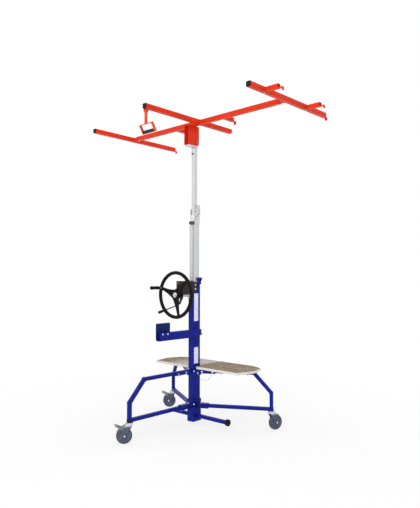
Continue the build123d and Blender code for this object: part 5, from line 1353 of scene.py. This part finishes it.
class HOIST_OT_stage(bpy.types.Operator):
    """Set up the pale floor, the soft light and the camera"""

    bl_idname = "hoist.stage"
    bl_label = "Stage"

    def execute(self, context):
        scene = context.scene
        scene.view_settings.view_transform = "Standard"
        self.floor()
        self.world(scene)
        for name, place, width, power, glossy in LAMPS:
            self.lamp(scene, name, Vector(place), width, power, glossy)
        self.camera(scene)
        return {"FINISHED"}

    def floor(self):
        """Round pale floor that fades to white with distance."""
        bm = bmesh.new()
        bmesh.ops.create_circle(bm, cap_ends=True, radius=FLOOR_R, segments=96)
        mesh = bpy.data.meshes.new("floor")
        bm.to_mesh(mesh)
        bm.free()
        finish = Finish("studio_floor", roughness=0.8, sheen=0.1)
        finish.colour(finish.mix(finish.noise(0.8), *FLOOR_GREYS))
        distance = finish.vector("LENGTH", finish.place, output="Value")
        share = finish.times(finish.span(distance, **FLOOR_GLOW), finish.seen())
        glow = finish.node("Emission", {"Color": (1, 1, 1, 1), "Strength": 1.0})
        both = finish.node("MixShader", {
            0: share, 1: finish.shader.outputs["BSDF"], 2: glow.outputs["Emission"]})
        surface = finish.tree.nodes["Material Output"].inputs["Surface"]
        finish.tree.links.new(both.outputs["Shader"], surface)
        show(mesh, "floor", finish.material)

    def world(self, scene):
        """White surroundings to the eye; as light, a pale ceiling over greyer walls."""
        scene.world = bpy.data.worlds.new("studio")
        scene.world.use_nodes = True
        sky = NodeTree(scene.world.node_tree)
        height = sky.part(sky.node("TexCoord").outputs["Generated"], "Z")
        room = sky.span(height, **ROOM_LIGHT)
        level = sky.node("Mix", {"Factor": sky.seen(), "A": room, "B": 1.0}).outputs["Result"]
        back = sky.tree.nodes["Background"].inputs
        back["Color"].default_value = (1, 1, 1, 1)
        sky.tree.links.new(level, back["Strength"])

    def lamp(self, scene, name, place, width, power, glossy):
        """Large soft area lamp aimed at the hoist's middle."""
        data = bpy.data.lights.new(name, "AREA")
        data.shape = "DISK"
        data.size = width
        data.energy = power
        lamp = bpy.data.objects.new(name, data)
        lamp.location = place
        lamp.rotation_euler = (LAMP_AIM - place).to_track_quat("-Z", "Y").to_euler()
        lamp.visible_glossy = glossy
        scene.collection.objects.link(lamp)

    def camera(self, scene):
        """Camera at the photograph's place and angle."""
        data = bpy.data.cameras.new("camera")
        data.sensor_width = SENSOR_WIDTH
        data.lens = sizes().camera_lens
        camera = bpy.data.objects.new("camera", data)
        level = Vector((math.cos(CAMERA_TURN), math.sin(CAMERA_TURN), 0))
        look = level * math.cos(CAMERA_TILT) + UP * math.sin(CAMERA_TILT)
        camera.location = CAMERA_PLACE
        camera.rotation_euler = look.to_track_quat("-Z", "Y").to_euler()
        scene.collection.objects.link(camera)
        scene.camera = camera


OPERATORS = (
    HOIST_OT_lanyard, HOIST_OT_frame, HOIST_OT_foot, HOIST_OT_platform, HOIST_OT_casters, HOIST_OT_winch,
    HOIST_OT_handwheel, HOIST_OT_brake_lever, HOIST_OT_rest_arm, HOIST_OT_labels, HOIST_OT_masts,
    HOIST_OT_cables, HOIST_OT_cradle, HOIST_OT_catch, HOIST_OT_stage,
)


class HOIST_PT_finish(bpy.types.Panel):
    """Buttons for the hoist's pieces, with its colours and sizes"""

    bl_idname = "HOIST_PT_finish"
    bl_label = "Panel hoist"
    bl_space_type = "VIEW_3D"
    bl_region_type = "UI"
    bl_category = "Hoist"

    def draw(self, context):
        for operator in OPERATORS:
            self.layout.operator(operator.bl_idname)
        for group in (context.scene.hoist_colours, context.scene.hoist_sizes):
            for name in group.__annotations__:
                self.layout.prop(group, name)


CLASSES = (HoistColours, HoistSizes, *OPERATORS, HOIST_PT_finish)


def register():
    """Register the classes and put the settings on the scene."""
    for each in CLASSES:
        bpy.utils.register_class(each)
    bpy.types.Scene.hoist_colours = PointerProperty(type=HoistColours)
    bpy.types.Scene.hoist_sizes = PointerProperty(type=HoistSizes)


def unregister():
    """Take the settings off the scene and unregister the classes."""
    del bpy.types.Scene.hoist_sizes
    del bpy.types.Scene.hoist_colours
    for each in reversed(CLASSES):
        bpy.utils.unregister_class(each)


def main():
    """Make every piece and the stage."""
    register()
    for operator in OPERATORS:
        group, name = operator.bl_idname.split(".")
        getattr(getattr(bpy.ops, group), name)()


if __name__ == "__main__":
    main()
